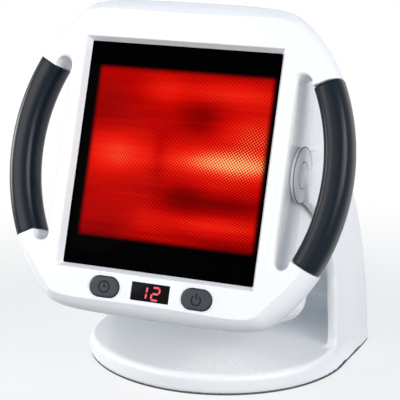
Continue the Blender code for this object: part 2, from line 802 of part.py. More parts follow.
def housing_ring(half_x, half_v, corner, n):
    return [(x, n, v) for x, v in rounded(half_x, half_v, corner, CORNER_STEPS)]


def housing_sections(wall):
    """Rings of the rear housing, drawn in by wall. Its sides run in to a shallow valley and out again."""
    front = BEZEL_REAR_N + CLEAR
    back_r = (HOUSING_BACK_N - HOUSING_REAR_N)
    levels = [(HOUSING_FRONT_X, HOUSING_FRONT_V, front),
              (HOUSING_VALLEY_X, HOUSING_VALLEY_V, HOUSING_VALLEY_N),
              (HOUSING_REAR_X, HOUSING_REAR_V, HOUSING_REAR_N)]
    for i in range(1, 4):
        angle = i / 3 * pi / 2
        levels.append((HOUSING_REAR_X - (HOUSING_REAR_X - HOUSING_BACK_X) * (1 - cos(angle)),
                       HOUSING_REAR_V - (HOUSING_REAR_V - HOUSING_BACK_V) * (1 - cos(angle)),
                       HOUSING_REAR_N + back_r * sin(angle)))
    rings = []
    for half_x, half_v, n in levels:
        depth = n - wall * max(0, (n - HOUSING_REAR_N) / back_r)
        rings.append(housing_ring(half_x - wall, half_v - wall, HOUSING_CORNER - wall, depth))
    return rings


def vent_slots():
    """Slots in the back, and a row along the top and the bottom wall."""
    cuts = []
    back = HOUSING_BACK_N - HOUSING_WALL - OVERRUN
    for first, rows in ((VENT_UPPER_V, SLOT_ROWS_UPPER), (VENT_LOWER_V, SLOT_ROWS_LOWER)):
        for row in range(rows):
            outline = rounded(VENT_HALF_X, VENT_HALF, VENT_HALF, 1, 0, first + row * VENT_PITCH)
            cuts.append(prism_n(outline, back, HOUSING_BACK_N + OVERRUN))
    middle_n = (TOP_VENT_FRONT_N + TOP_VENT_REAR_N) / 2
    half_n = (TOP_VENT_REAR_N - TOP_VENT_FRONT_N) / 2
    inner = HOUSING_REAR_V - HOUSING_WALL - OVERRUN
    outer = HOUSING_FRONT_V + OVERRUN
    for i in range(TOP_VENTS):
        x = (i - (TOP_VENTS - 1) / 2) * TOP_VENT_PITCH
        outline = rounded(VENT_HALF, half_n, VENT_HALF, 1, x, middle_n)
        for low, high in ((inner, outer), (-outer, -inner)):
            cuts.append(loft([[(a, n, v) for a, n in outline] for v in (low, high)]))
    return join(*cuts)


def rear_housing():
    housing = solid("rear_housing", shell(housing_sections(0), housing_sections(HOUSING_WALL)), "white_shell")
    floor_x = pad_outer()
    pad_inner = floor_x - PAD_THICK
    pivot = (PIVOT_N, PIVOT_V)
    in_wall = HOUSING_VALLEY_X - HOUSING_WALL / 2
    carve(housing, mirrored(lambda: rod("x", PAD_R + HOUSING_WALL, pad_inner, in_wall, pivot)), "UNION")
    front = BEZEL_REAR_N + CLEAR
    inside = HOUSING_BACK_N - HOUSING_WALL / 2
    carve(housing, four(lambda at: rod("n", POST_R, front, inside, at, SMALL_STEPS), POST_X, POST_V), "UNION")
    carve(housing, mirrored(lambda: rod("x", PAD_R, floor_x, HOUSING_FRONT_X + OVERRUN, pivot)), "DIFFERENCE")
    bush_holes = mirrored(lambda: through_hole("x", BUSH_R, pad_inner, floor_x, pivot, ROUND_STEPS))
    carve(housing, bush_holes, "DIFFERENCE")
    web = front + POST_WEB
    bore = [(front - OVERRUN, 0), (front - OVERRUN, POST_HOLE_R), (web, POST_HOLE_R), (web, POST_BORE_R),
            (HOUSING_BACK_N + OVERRUN, POST_BORE_R), (HOUSING_BACK_N + OVERRUN, 0)]
    carve(housing, four(lambda at: turned(bore, "n", at, SMALL_STEPS), POST_X, POST_V), "DIFFERENCE")
    carve(housing, vent_slots(), "DIFFERENCE")
    gland_hole = through_hole("n", GLAND_R, HOUSING_BACK_N - HOUSING_WALL, HOUSING_BACK_N, (0, GLAND_V), 16)
    return carve(housing, gland_hole, "DIFFERENCE")


def housing_screws():
    under = BEZEL_REAR_N + POST_WEB + 2 * CLEAR
    tip = HOUSING_SCREW_TIP_N

    def build(at):
        return screw(HOUSING_SCREW_R, HOUSING_SCREW_HEAD_R, HOUSING_SCREW_HEAD, under, tip, at)

    return copies("housing_screw", build, corners(POST_X, POST_V), "steel")


def cord_gland():
    """Moulded gland in the back wall, where the mains lead would leave."""
    outside = HOUSING_BACK_N + CLEAR
    inside = HOUSING_BACK_N - HOUSING_WALL - OVERRUN
    end = inside + GLAND_LENGTH
    shape = turned([(inside, GLAND_BORE_R), (inside, GLAND_R), (outside, GLAND_R), (outside, GLAND_FLANGE_R),
                    (outside + GLAND_FLANGE / 2, GLAND_FLANGE_R), (outside + GLAND_FLANGE, GLAND_R),
                    (end, GLAND_R - GLAND_FLANGE / 3), (end, GLAND_BORE_R)], "n", (0, GLAND_V), 16)
    return solid("cord_gland", shape, "black_plastic")


def terminal_block():
    back = HOUSING_BACK_N - HOUSING_WALL - CLEAR
    shape = prism_n(rectangle(TERMINAL_HALF_X, TERMINAL_HALF_V, 0, TERMINAL_V), back - TERMINAL_DEEP, back)
    block = solid("terminal_block", shape, "black_plastic")
    pitch = TERMINAL_HALF_X * 2 / 3
    front = back - TERMINAL_DEEP - OVERRUN
    well_r = TERMINAL_HALF_V / 3
    floor = back - TERMINAL_DEEP / 2
    wells = [rod("n", well_r, front, floor, (i * pitch, TERMINAL_V), SMALL_STEPS) for i in (-1, 0, 1)]
    return carve(block, join(*wells), "DIFFERENCE")


def button(name):
    """Pill on its own slide axis: crown, body, rim behind the bezel plate and stem to the switch."""
    rim_front = PLATE_BACK_N + CLEAR
    rim_back = rim_front + BUTTON_RIM_THICK
    top = FRONT_N - BUTTON_PROUD
    crowned = top + BUTTON_CROWN
    sizes = [(top, -2 * BUTTON_CROWN), (top + BUTTON_CROWN / 3, -BUTTON_CROWN), (crowned, 0), (rim_front, 0),
             (rim_front, BUTTON_RIM), (rim_back, BUTTON_RIM)]
    rings = []
    for n, grow in sizes:
        outline = rounded(BUTTON_HALF_X + grow, BUTTON_HALF_V + grow, BUTTON_HALF_V + grow)
        rings.append([(x, n, v) for x, v in outline])
    pill = solid(name, loft(rings), "button_plastic")
    stem_end = switch_front() - BUTTON_TRAVEL - CLEAR
    return carve(pill, rod("n", BUTTON_STEM_R, rim_back - CLEAR, stem_end, (0, 0), SMALL_STEPS), "UNION")


def switch_front():
    return BOARD_FRONT_N - CLEAR - SWITCH_BODY


def tact_switches():
    def build(at):
        return prism_n(rectangle(SWITCH_HALF, SWITCH_HALF, *at), switch_front(), BOARD_FRONT_N - CLEAR)

    return copies("tact_switch", build, pair(BUTTON_X), "black_plastic")


def display_window():
    front = FRONT_N + WINDOW_SUNK
    shape = prism_n(rectangle(WINDOW_HALF_X, WINDOW_HALF_V, 0, WINDOW_V), front, front + WINDOW_THICK)
    return solid("display_window", shape, "display_pane")


def display_module():
    front = FRONT_N + WINDOW_SUNK + WINDOW_THICK + CLEAR
    shape = prism_n(rectangle(MODULE_HALF_X, MODULE_HALF_V, 0, WINDOW_V), front, BOARD_FRONT_N - CLEAR)
    return solid("display_module", shape, "black_plastic")


def pair(x):
    """Two places on the line of the buttons."""
    return [(-x, BUTTON_V), (x, BUTTON_V)]


def control_board():
    back = BOARD_FRONT_N + BOARD_THICK
    shape = prism_n(rectangle(BOARD_HALF_X, BOARD_HALF_V, 0, BUTTON_V), BOARD_FRONT_N, back)
    board = solid("control_board", shape, "board_green")
    holes = [through_hole("n", BOARD_SCREW_R, BOARD_FRONT_N, back, at) for at in pair(BOARD_POST_X)]
    return carve(board, join(*holes), "DIFFERENCE")


def board_screws():
    under = BOARD_FRONT_N + BOARD_THICK + CLEAR

    def build(at):
        return screw(BOARD_SCREW_R, BOARD_SCREW_HEAD_R, BOARD_SCREW_HEAD, under, BOARD_FRONT_N, at)

    return copies("board_screw", build, pair(BOARD_POST_X), "steel")


def grip(name, side):
    outer = superellipse(GRIP_WIDE / 2, GRIP_DEEP / 2, GRIP_POWER, GRIP_SIDES)
    bore = superellipse(CORE_WIDE / 2 + CLEAR, CORE_DEEP / 2 + CLEAR, CORE_POWER, GRIP_SIDES)
    shape = bent_sleeve(outer, bore, GRIP_ANGLE)
    for vert in shape.verts:
        vert.co.x *= side
    return solid(name, shape, "grip_rubber")


# Pivot stack, from the arm's boss inwards: washer, housing pad with its bush, spring washer, nut

def pad_outer():
    return BOSS_INNER_X - CLEAR - WASHER_THICK - CLEAR


def bush_inner():
    return pad_outer() - PAD_THICK - CLEAR - BUSH_FLANGE


def nut_outer():
    return bush_inner() - CLEAR - SPRING_WASHER - CLEAR


def pivot_stack(name, side):
    """Friction washer, bush, spring washer, nut, bolt and cap of one side, as (object, body) pairs."""
    bolt_hole = BOLT_R + CLEAR

    def stack(*profile, steps=ROUND_STEPS):
        """Profile of distance from the middle plane and radius, on this side."""
        return turned([(side * x, radius) for x, radius in profile], "x", (0, 0), steps)

    def ring(radius, outer, thick, steps=ROUND_STEPS):
        inner = outer - thick
        return stack((outer, bolt_hole), (outer, radius), (inner, radius), (inner, bolt_hole), steps=steps)

    washer = ring(WASHER_R, pad_outer() + CLEAR + WASHER_THICK, WASHER_THICK)
    flange = pad_outer() - PAD_THICK - CLEAR
    bush = stack((pad_outer(), bolt_hole), (pad_outer(), BUSH_R), (flange, BUSH_R), (flange, BUSH_FLANGE_R),
                 (bush_inner(), BUSH_FLANGE_R), (bush_inner(), bolt_hole))
    spring = ring(SPRING_WASHER_R, bush_inner() - CLEAR, SPRING_WASHER)
    nut = ring(NUT_R, nut_outer(), NUT_THICK, NUT_SIDES * 2)
    for vert in nut.verts:
        radius = sqrt(vert.co.y ** 2 + vert.co.z ** 2)
        if radius > bolt_hole + CLEAR:
            angle = atan2(vert.co.z, vert.co.y)
            sector = tau / NUT_SIDES
            fold = angle - sector * round(angle / sector)
            flat = NUT_R * cos(sector / 2) / cos(fold)
            vert.co.y *= flat / radius
            vert.co.z *= flat / radius
    bolt_end = nut_outer() - NUT_THICK - BOLT_END
    cap_inner = POD_OUTER_X - CAP_THICK
    head_outer = cap_inner - CLEAR
    head_inner = head_outer - BOLT_HEAD
    bolt = stack((bolt_end, 0), (bolt_end, BOLT_R), (head_inner, BOLT_R), (head_inner, BOLT_HEAD_R),
                 (head_outer, BOLT_HEAD_R), (head_outer, 0))
    cap = stack((cap_inner, 0), (cap_inner, CAP_R), (POD_OUTER_X, CAP_R),
                (POD_OUTER_X + CAP_DOME * 2 / 3, CAP_R * 2 / 3), (POD_OUTER_X + CAP_DOME, 0))
    pieces = [("friction_washer_", washer, "acetal", "stand"), ("pivot_bush_", bush, "brass", "head"),
              ("spring_washer_", spring, "steel", "stand"), ("pivot_nut_", nut, "steel", "stand"),
              ("pivot_bolt_", bolt, "steel", "stand"), ("pivot_cap_", cap, "white_shell", "stand")]
    return [(solid(first + name, shape, finish), body) for first, shape, finish, body in pieces]


# Stand

def arm_half(z):
    """Half width of the stand outside: flared at the foot, straight at the pivot."""
    rest = max(0.0, 1 - z / PIVOT_HEIGHT)
    return POD_OUTER_X - POD_PROUD + ARM_FLARE * rest ** FLARE_POWER


def rear_line(z):
    """How far back the stand reaches at one height: a superellipse quarter."""
    return STAND_REAR_Y * max(0.0, 1 - (z / ARM_TOP) ** ARM_POWER) ** (1 / ARM_POWER)


def corner_radius(z):
    return CORNER_TOP + (STAND_CORNER - CORNER_TOP) * max(0.0, 1 - z / CORNER_FADE) ** CORNER_POWER


def arch_ring(half_x, front_y, rear_y, corner, z):
    """Plan of the wall at one height: open at the front, round at the two rear corners."""
    points = [(-half_x, front_y, z)]
    for i in range(CORNER_STEPS + 1):
        angle = pi - i / CORNER_STEPS * pi / 2
        points.append((-half_x + corner + corner * cos(angle), rear_y - corner + corner * sin(angle), z))
    for i in range(CORNER_STEPS + 1):
        angle = pi / 2 - i / CORNER_STEPS * pi / 2
        points.append((half_x - corner + corner * cos(angle), rear_y - corner + corner * sin(angle), z))
    points.append((half_x, front_y, z))
    return points


def wall_outside():
    low = FLOOR_GAP + FOOT_EDGE * 2
    rings = []
    for i in range(STAND_LEVELS + 1):
        angle = i / STAND_LEVELS * pi / 2
        z = low + (ARM_TOP - low) * sin(angle) ** (2 / ARM_POWER) * (1 - CLEAR)
        rear = max(rear_line(z), CORNER_TOP * 2)
        corner = min(corner_radius(z), rear / 2)
        rings.append(arch_ring(arm_half(z), 0, rear, corner, z))
    return loft(rings)


def wall_inside():
    """Space between the arms, with a large fillet where it meets the foot."""
    rings = []
    heights = [FOOT_HEIGHT + INNER_FILLET * (1 - cos(i / 4 * pi / 2)) for i in range(5)]
    spare = ARM_TOP - heights[-1]
    heights += [heights[-1] + spare * i / 8 for i in range(1, 8)]
    heights.append(ARM_TOP + OVERRUN)
    for z in heights:
        rise = max(0.0, INNER_FILLET - (z - FOOT_HEIGHT))
        fill = INNER_FILLET - sqrt(INNER_FILLET ** 2 - rise ** 2)
        half_x = max(ARM_INNER_X, arm_half(z) - WALL) - fill
        rear = STAND_REAR_Y - WALL - fill
        corner = max(STAND_CORNER - WALL, CORNER_TOP)
        if z > BACK_RIM:
            share = (z - BACK_RIM) / (ARM_TOP - BACK_RIM)
            corner = corner + (CORNER_TOP - corner) * min(1.0, share * 2)
        if z < BACK_RIM + BACK_CURVE_Z:
            rear = rear_line(z) - WALL - fill
        rings.append(arch_ring(half_x, -OVERRUN, rear, corner, z))
    return loft(rings)


def front_cut():
    """Everything ahead of the arms' front edge, down to the foot, as a side view."""
    toe_y = ARM_FRONT_LOW_Y - TOE_FILLET
    toe_z = FOOT_HEIGHT + TOE_FILLET
    points = [(-FOOT_FRONT_REACH, 0), (toe_y, 0)]
    for i in range(5):
        angle = i / 4 * pi / 2
        points.append((toe_y + TOE_FILLET * sin(angle), toe_z - TOE_FILLET * cos(angle)))
    knee_z = PIVOT_HEIGHT - ARM_FRONT_DROP
    pod_z = PIVOT_HEIGHT - ARM_POD_DROP
    points += bezier((ARM_FRONT_Y, knee_z), (ARM_FRONT_Y, knee_z + ARM_FRONT_REACH),
                     (ARM_POD_Y + ARM_POD_REACH_Y, pod_z - ARM_POD_REACH_Z), (ARM_POD_Y, pod_z), 8)
    points += [(ARM_POD_Y, pod_z), (-FOOT_FRONT_REACH, pod_z)]
    reach = FOOT_HALF_X + OVERRUN
    return prism_x(points, -reach, reach)


def back_cut():
    """Opening between the arms above the back wall, with an elliptical sweep up each side."""
    points = [(-ARM_INNER_X, ARM_TOP + OVERRUN)]
    for i in range(9):
        angle = pi + i / 8 * pi / 2
        points.append((-BACK_FLAT_X + (ARM_INNER_X - BACK_FLAT_X) * cos(angle),
                       BACK_RIM + BACK_CURVE_Z + BACK_CURVE_Z * sin(angle)))
    points += [(-x, z) for x, z in reversed(points)]
    return loft([[(x, y, z) for x, z in points] for y in (0, STAND_REAR_Y + OVERRUN)])


def foot_ring(inset, z):
    """Plan of the foot: half an ellipse in front, straight sides and two round rear corners."""
    half_x = FOOT_HALF_X - inset
    reach = FOOT_FRONT_REACH - inset
    corner = STAND_CORNER - inset
    centre_x = half_x - corner
    centre_y = STAND_REAR_Y - inset - corner
    points = []
    for i in range(FOOT_STEPS + 1):
        angle = pi + i / FOOT_STEPS * pi
        points.append((half_x * cos(angle), FOOT_CENTRE_Y + reach * sin(angle), z))
    for sx, start in ((1, 0), (-1, pi / 2)):
        for i in range(CORNER_STEPS + 1):
            angle = start + i / CORNER_STEPS * pi / 2
            points.append((sx * centre_x + corner * cos(angle), centre_y + corner * sin(angle), z))
    return points


def foot_body():
    rings = [foot_ring(FOOT_EDGE, FLOOR_GAP), foot_ring(0, FLOOR_GAP + FOOT_EDGE)]
    for i in range(5):
        angle = i / 4 * pi / 2
        rings.append(foot_ring(FOOT_LIP_R * (1 - cos(angle)), FOOT_HEIGHT - FOOT_LIP_R * (1 - sin(angle))))
    return loft(rings)


def pod():
    """Disc at the top of the arm with the boss that the friction washer bears on."""
    seat = ARM_INNER_X - POD_SEAT
    return turned([(BOSS_INNER_X, 0), (BOSS_INNER_X, BOSS_R), (seat, BOSS_R), (seat, POD_R),
                   (POD_OUTER_X - POD_CHAMFER, POD_R), (POD_OUTER_X, POD_R - POD_CHAMFER), (POD_OUTER_X, 0)],
                  "x", (0, PIVOT_HEIGHT), 2 * ROUND_STEPS)


def pod_bore():
    start = BOSS_INNER_X - OVERRUN
    head_floor = POD_OUTER_X - CAP_THICK - BOLT_HEAD - 2 * CLEAR
    end = POD_OUTER_X + OVERRUN
    bolt_hole = BOLT_R + CLEAR
    cap_hole = CAP_R + CLEAR
    profile = [(start, 0), (start, bolt_hole), (head_floor, bolt_hole),
               (head_floor, cap_hole), (end, cap_hole), (end, 0)]
    return turned(profile, "x", (0, PIVOT_HEIGHT))


def base_points(front_x, front_y, rear_x, rear_y):
    return [(side * x, y) for side in (-1, 1) for x, y in ((front_x, front_y), (rear_x, rear_y))]


def boss_places():
    return base_points(BASE_BOSS_X, BASE_BOSS_FRONT_Y, BASE_BOSS_X, BASE_BOSS_REAR_Y)


def base_top():
    return BASE_UNDER + BASE_THICK


def stand_shell():
    stand = solid("stand_shell", wall_outside(), "white_shell")
    carve(stand, wall_inside(), "DIFFERENCE")
    carve(stand, front_cut(), "DIFFERENCE")
    carve(stand, back_cut(), "DIFFERENCE")
    carve(stand, foot_body(), "UNION")
    carve(stand, mirrored(pod), "UNION")
    carve(stand, mirrored(pod_bore), "DIFFERENCE")
    ceiling = FOOT_HEIGHT - FOOT_TOP_THICK
    carve(stand, loft([foot_ring(FOOT_WALL, -OVERRUN), foot_ring(FOOT_WALL, ceiling)]), "DIFFERENCE")
    low = base_top() + CLEAR
    bosses = [rod("z", BASE_BOSS_R, low, ceiling + CLEAR, at, SMALL_STEPS) for at in boss_places()]
    carve(stand, join(*bosses), "UNION")
    hole_top = low + BASE_SCREW_BITE + CLEAR
    holes = [rod("z", POST_HOLE_R, low - OVERRUN, hole_top, at, SMALL_STEPS) for at in boss_places()]
    return carve(stand, join(*holes), "DIFFERENCE")


def base_plate():
    inset = FOOT_WALL + BASE_CLEAR
    shape = loft([foot_ring(inset, BASE_UNDER), foot_ring(inset, base_top())])
    plate = solid("base_plate", shape, "black_plastic")
    holes = [through_hole("z", BASE_SCREW_R, BASE_UNDER, base_top(), at) for at in boss_places()]
    return carve(plate, join(*holes), "DIFFERENCE")


def base_screws():
    under = BASE_UNDER - CLEAR
    low = under - BASE_SCREW_HEAD
    tip = base_top() + CLEAR + BASE_SCREW_BITE
    profile = [(low, 0), (low, BASE_SCREW_HEAD_R), (under, BASE_SCREW_HEAD_R), (under, BASE_SCREW_R),
               (tip, BASE_SCREW_R), (tip, 0)]
    return copies("base_screw", lambda at: turned(profile, "z", at, SMALL_STEPS), boss_places(), "steel")


def rubber_feet():
    places = base_points(PAD_FRONT_X, PAD_FRONT_Y, PAD_REAR_X, PAD_REAR_Y)
    def build(at):
        return rod("z", PAD_FOOT_R, 0, PAD_FOOT_THICK, at, 16)

    return copies("rubber_foot", build, places, "silicone")


def empty(name, location, parent=None):
    made = bpy.data.objects.new(name, None)
    bpy.context.scene.collection.objects.link(made)
    made.parent = parent
    made.location = location
    return made


def attach(piece, parent, location=(0, 0, 0)):
    piece.parent = parent
    piece.location = location


def centre_on_floor(base, pieces):
    """Slide the whole lamp along y until its box is centred over the origin."""
    bpy.context.view_layer.update()
    places = [(piece.matrix_world @ vert.co).y for piece in pieces for vert in piece.data.vertices]
    base.location.y = -(min(places) + max(places)) / 2


def main():
    for old in list(bpy.data.objects):
        bpy.data.objects.remove(old)
    base = empty("stand_frame", (0, 0, 0))
    pivot = empty("head_axis", (0, 0, PIVOT_HEIGHT), base)
    pivot.rotation_euler.x = -HEAD_TILT
    glass_place = (0, -PIVOT_N, -PIVOT_V)
    head = [front_bezel(), glass_panel(), glass_gasket(), glass_frame(), reflector(), heat_shield(),
            quartz_tube(), filament(), thermal_cutout(), rear_housing(), cord_gland(), terminal_block(),
            display_window(), display_module(), control_board()]
    head += frame_screws() + housing_screws() + board_screws() + tact_switches()
    for name, side in SIDES.items():
        head.append(ceramic_holder(side))
        head.append(grip(name + "_grip", side))
    for piece in head:
        attach(piece, pivot, glass_place)
    buttons = [("timer_button", -1), ("power_button", 1)]
    for name, side in buttons:
        piece = button(name)
        attach(piece, pivot, (glass_place[0] + side * BUTTON_X, glass_place[1], glass_place[2] + BUTTON_V))
        head.append(piece)
    stand = [stand_shell(), base_plate()] + base_screws() + rubber_feet()
    for piece in stand:
        attach(piece, base)
    for name, side in SIDES.items():
        for piece, body in pivot_stack(name, side):
            if body == "head":
                attach(piece, pivot)
            else:
                attach(piece, base, (0, 0, PIVOT_HEIGHT))
            stand.append(piece)
    centre_on_floor(base, head + stand)


main()
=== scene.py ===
from math import asin, cos, pi, radians, sin, tau

import bmesh
import bpy
import numpy as np
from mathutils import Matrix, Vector


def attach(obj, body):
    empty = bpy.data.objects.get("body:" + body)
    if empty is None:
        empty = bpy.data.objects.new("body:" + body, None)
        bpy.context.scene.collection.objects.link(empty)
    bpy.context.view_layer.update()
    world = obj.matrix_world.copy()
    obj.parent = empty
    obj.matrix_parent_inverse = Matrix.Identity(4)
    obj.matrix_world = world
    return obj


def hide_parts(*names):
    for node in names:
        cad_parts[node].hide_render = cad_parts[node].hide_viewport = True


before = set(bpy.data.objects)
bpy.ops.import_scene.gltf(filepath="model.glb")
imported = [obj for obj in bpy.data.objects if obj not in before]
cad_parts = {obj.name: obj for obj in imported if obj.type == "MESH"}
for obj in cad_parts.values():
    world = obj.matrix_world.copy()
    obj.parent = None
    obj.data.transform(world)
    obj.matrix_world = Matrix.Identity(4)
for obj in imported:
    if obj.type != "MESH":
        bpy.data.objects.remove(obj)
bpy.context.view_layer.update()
scene = bpy.context.scene
print("frame loaded:", len(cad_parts), "nodes")

mm = 0.001
past = 2 * mm  # how far a cutting body runs past what it cuts
finishes = {}  # every material under its slot's name

# The head leans back about its pivot; its own frame is x to the right, n back from the glass, v up the glass
pivot = {"y": -0.036951, "z": 0.1673, "n": 0.036, "v": 0.0017, "tilt": radians(20)}


def inMm(**lengths):
    # Lengths given in mm, by name
    return {name: length * mm for name, length in lengths.items()}


def headPoints(x, n, v):
    # Shift to the pivot, then lean back: y = n' cos + v' sin and z = v' cos - n' sin
    x, n, v = np.broadcast_arrays(x, n, v)
    c, s = cos(pivot["tilt"]), sin(pivot["tilt"])
    back, up = n - pivot["n"], v - pivot["v"]
    return np.stack([x, pivot["y"] + back * c + up * s, pivot["z"] + up * c - back * s], -1)


# Making meshes

def gridFaces(rows, columns, closeRows=False, closeColumns=True):
    # Quads between neighbours of a grid of points; either direction may close on itself
    r, c = np.meshgrid(np.arange(rows - (not closeRows)), np.arange(columns - (not closeColumns)), indexing="ij")
    r2, c2 = (r + 1) % rows, (c + 1) % columns
    return np.stack([r * columns + c, r * columns + c2, r2 * columns + c2, r2 * columns + c], -1).reshape(-1, 4)


def pieceFrom(name, points, quads, caps=()):
    # New object from points, quads and flat caps
    mesh = bpy.data.meshes.new(name)
    mesh.from_pydata(np.reshape(points, (-1, 3)).tolist(), [], np.asarray(quads).tolist() + [list(c) for c in caps])
    piece = bpy.data.objects.new(name, mesh)
    scene.collection.objects.link(piece)
    return piece


def faceOutwards(piece, merge=1e-7):
    # Weld points that coincide and turn every face outwards
    shape = bmesh.new()
    shape.from_mesh(piece.data)
    bmesh.ops.remove_doubles(shape, verts=shape.verts, dist=merge)
    bmesh.ops.recalc_face_normals(shape, faces=shape.faces)
    shape.to_mesh(piece.data)
    shape.free()
    return piece


def loft(name, rings):
    # Closed body through rings of points, with a flat cap on the first and the last
    rings = np.asarray(rings)
    rows, count = rings.shape[:2]
    caps = [range(count), range((rows - 1) * count, rows * count)]
    return faceOutwards(pieceFrom(name, rings, gridFaces(rows, count), caps))


def closedBand(name, rings):
    # Body like a tyre: the last ring closes on the first
    rings = np.asarray(rings)
    return faceOutwards(pieceFrom(name, rings, gridFaces(*rings.shape[:2], closeRows=True)))


def turnedBand(name, profile, place, count=96):
    # Closed profile of distance along the axis and radius, carried round: a = radius cos and b = radius sin
    profile = np.asarray(profile, float)
    angle = np.arange(count) / count * tau
    along = np.repeat(profile[:, :1], count, 1)
    return closedBand(name, place(along, profile[:, 1:] * np.cos(angle), profile[:, 1:] * np.sin(angle)))


def cut(piece, *tools, operation="DIFFERENCE"):
    # Apply a boolean with each tool, and whatever modifier is already there; the tools are used up
    for tool in tools:
        step = piece.modifiers.new("cut", "BOOLEAN")
        step.operation, step.solver, step.object = operation, "EXACT", tool
    bpy.context.view_layer.update()
    seen = piece.evaluated_get(bpy.context.evaluated_depsgraph_get())
    result = bpy.data.meshes.new_from_object(seen)
    piece.modifiers.clear()
    piece.data = result
    for tool in tools:
        bpy.data.objects.remove(tool)
    return piece


def joined(name, *pieces):
    # Several bodies in one mesh, as they are
    shape = bmesh.new()
    for piece in pieces:
        shape.from_mesh(piece.data)
        bpy.data.objects.remove(piece)
    whole = pieceFrom(name, np.zeros((0, 3)), np.zeros((0, 4), int))
    shape.to_mesh(whole.data)
    shape.free()
    return whole


def dress(piece, body, slot, stands=(), finish=None, sharp=32, weighted=False):
    # Finish and smooth shading, with edges sharper than an angle kept; then the body it rides on and what it stands for
    piece.data.materials.clear()
    piece.data.materials.append(finishes[finish or slot])
    piece.data.shade_smooth()
    piece.data.set_sharp_from_angle(angle=radians(sharp))
    if weighted:
        even = piece.modifiers.new("even", "WEIGHTED_NORMAL")
        even.keep_sharp = True
    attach(piece, body)
    if stands:
        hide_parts(*stands)
    return piece


# Outlines

def bezier(a, b, c, d, steps):
    # Cubic curve from a to d, without its last point
    t = np.arange(steps)[:, None] / steps
    a, b, c, d = (np.array(p, float) for p in (a, b, c, d))
    return (1 - t) ** 3 * a + 3 * (1 - t) ** 2 * t * b + 3 * (1 - t) * t ** 2 * c + t ** 3 * d


def fourQuarters(o, steps=26):
    # Two curves from the top to the corner and on to the side, mirrored into all four quarters
    along = np.array([sin(o["lean"]), -cos(o["lean"])])
    corner = np.array(o["corner"])
    top = bezier((0, o["halfV"]), (o["topReach"], o["halfV"]), corner - o["topTurn"] * along, corner, steps)
    side = bezier(corner, corner + o["sideTurn"] * along, (o["halfX"], o["sideReach"]), (o["halfX"], 0), steps)
    quarter = np.concatenate([top, side])
    lowerRight, upperLeft = (quarter[1:] * [1, -1])[::-1], (quarter[1:] * [-1, 1])[::-1]
    return np.concatenate([quarter, [[o["halfX"], 0]], lowerRight, -quarter, [[-o["halfX"], 0]], upperLeft])


def grown(outline, distance):
    # Outline moved along its own normals; it runs clockwise, seen from the front
    along = np.roll(outline, -1, 0) - np.roll(outline, 1, 0)
    along = along / np.linalg.norm(along, axis=1, keepdims=True)
    return outline + np.stack([-along[:, 1], along[:, 0]], -1) * np.reshape(distance, (-1, 1))


def roundedRect(halfX, halfV, corner, steps=8, x=0.0, v=0.0):
    # Four quarter circles: x = +-(half - corner) + corner cos and v = +-(half - corner) + corner sin
    angle = (np.arange(4)[:, None] + np.linspace(0, 1, steps + 1)[None, :]) * pi / 2
    sx, sv = np.array([1, -1, -1, 1])[:, None], np.array([1, 1, -1, -1])[:, None]
    px = x + sx * (halfX - corner) + corner * np.cos(angle)
    pv = v + sv * (halfV - corner) + corner * np.sin(angle)
    return np.stack([px.ravel(), pv.ravel()], -1)


def superellipse(halfA, halfB, power, count):
    # |a / halfA| ^ power + |b / halfB| ^ power = 1
    angle = np.arange(count) / count * tau
    c, s = np.cos(angle), np.sin(angle)
    return np.stack([halfA * np.abs(c) ** (2 / power) * np.sign(c), halfB * np.abs(s) ** (2 / power) * np.sign(s)], -1)


def circle(x, v, radius, first=0.0, last=360.0, count=40, closed=True):
    # Points of a circle between two angles in degrees
    angle = np.radians(np.linspace(first, last, count, endpoint=not closed))
    return np.stack([x + radius * np.cos(angle), v + radius * np.sin(angle)], -1)


def headRing(outline, n):
    # Outline of x and v at one depth of the head
    return headPoints(outline[:, 0], n, outline[:, 1])


def headPrism(name, outline, front, back):
    return loft(name, [headRing(outline, front), headRing(outline, back)])


# Materials

def feed(made, inputs):
    # A socket is linked; any other value is set on the input itself
    for key, value in inputs.items():
        if isinstance(value, bpy.types.NodeSocket):
            made.id_data.links.new(value, made.inputs[key])
        else:
            made.inputs[key].default_value = value
    return made


def node(tree, kind, inputs=None, **settings):
    made = tree.nodes.new("ShaderNode" + kind)
    for key, value in settings.items():
        setattr(made, key, value)
    return feed(made, inputs or {})


def maths(tree, operation, a, b=0.0, c=0.0, clamp=False):
    return node(tree, "Math", {0: a, 1: b, 2: c}, operation=operation, use_clamp=clamp).outputs[0]


def noise(tree, vector, scale, detail):
    return node(tree, "TexNoise", {"Vector": vector, "Scale": scale, "Detail": detail}).outputs["Fac"]


def blend(tree, factor, a, b):
    return node(tree, "Mix", {"Factor": factor, "A": a, "B": b}, data_type="RGBA").outputs["Result"]


def objectPlace(tree):
    return node(tree, "TexCoord").outputs["Object"]


def newGroup(name, inputs, outputs):
    tree = bpy.data.node_groups.new(name, "ShaderNodeTree")
    for direction, sockets in (("INPUT", inputs), ("OUTPUT", outputs)):
        for label, kind in sockets.items():
            tree.interface.new_socket(name=label, in_out=direction, socket_type="NodeSocket" + kind)
    return tree, tree.nodes.new("NodeGroupInput").outputs, tree.nodes.new("NodeGroupOutput")


skinOutputs = {"Colour": "Color", "Roughness": "Float", "Height": "Float"}


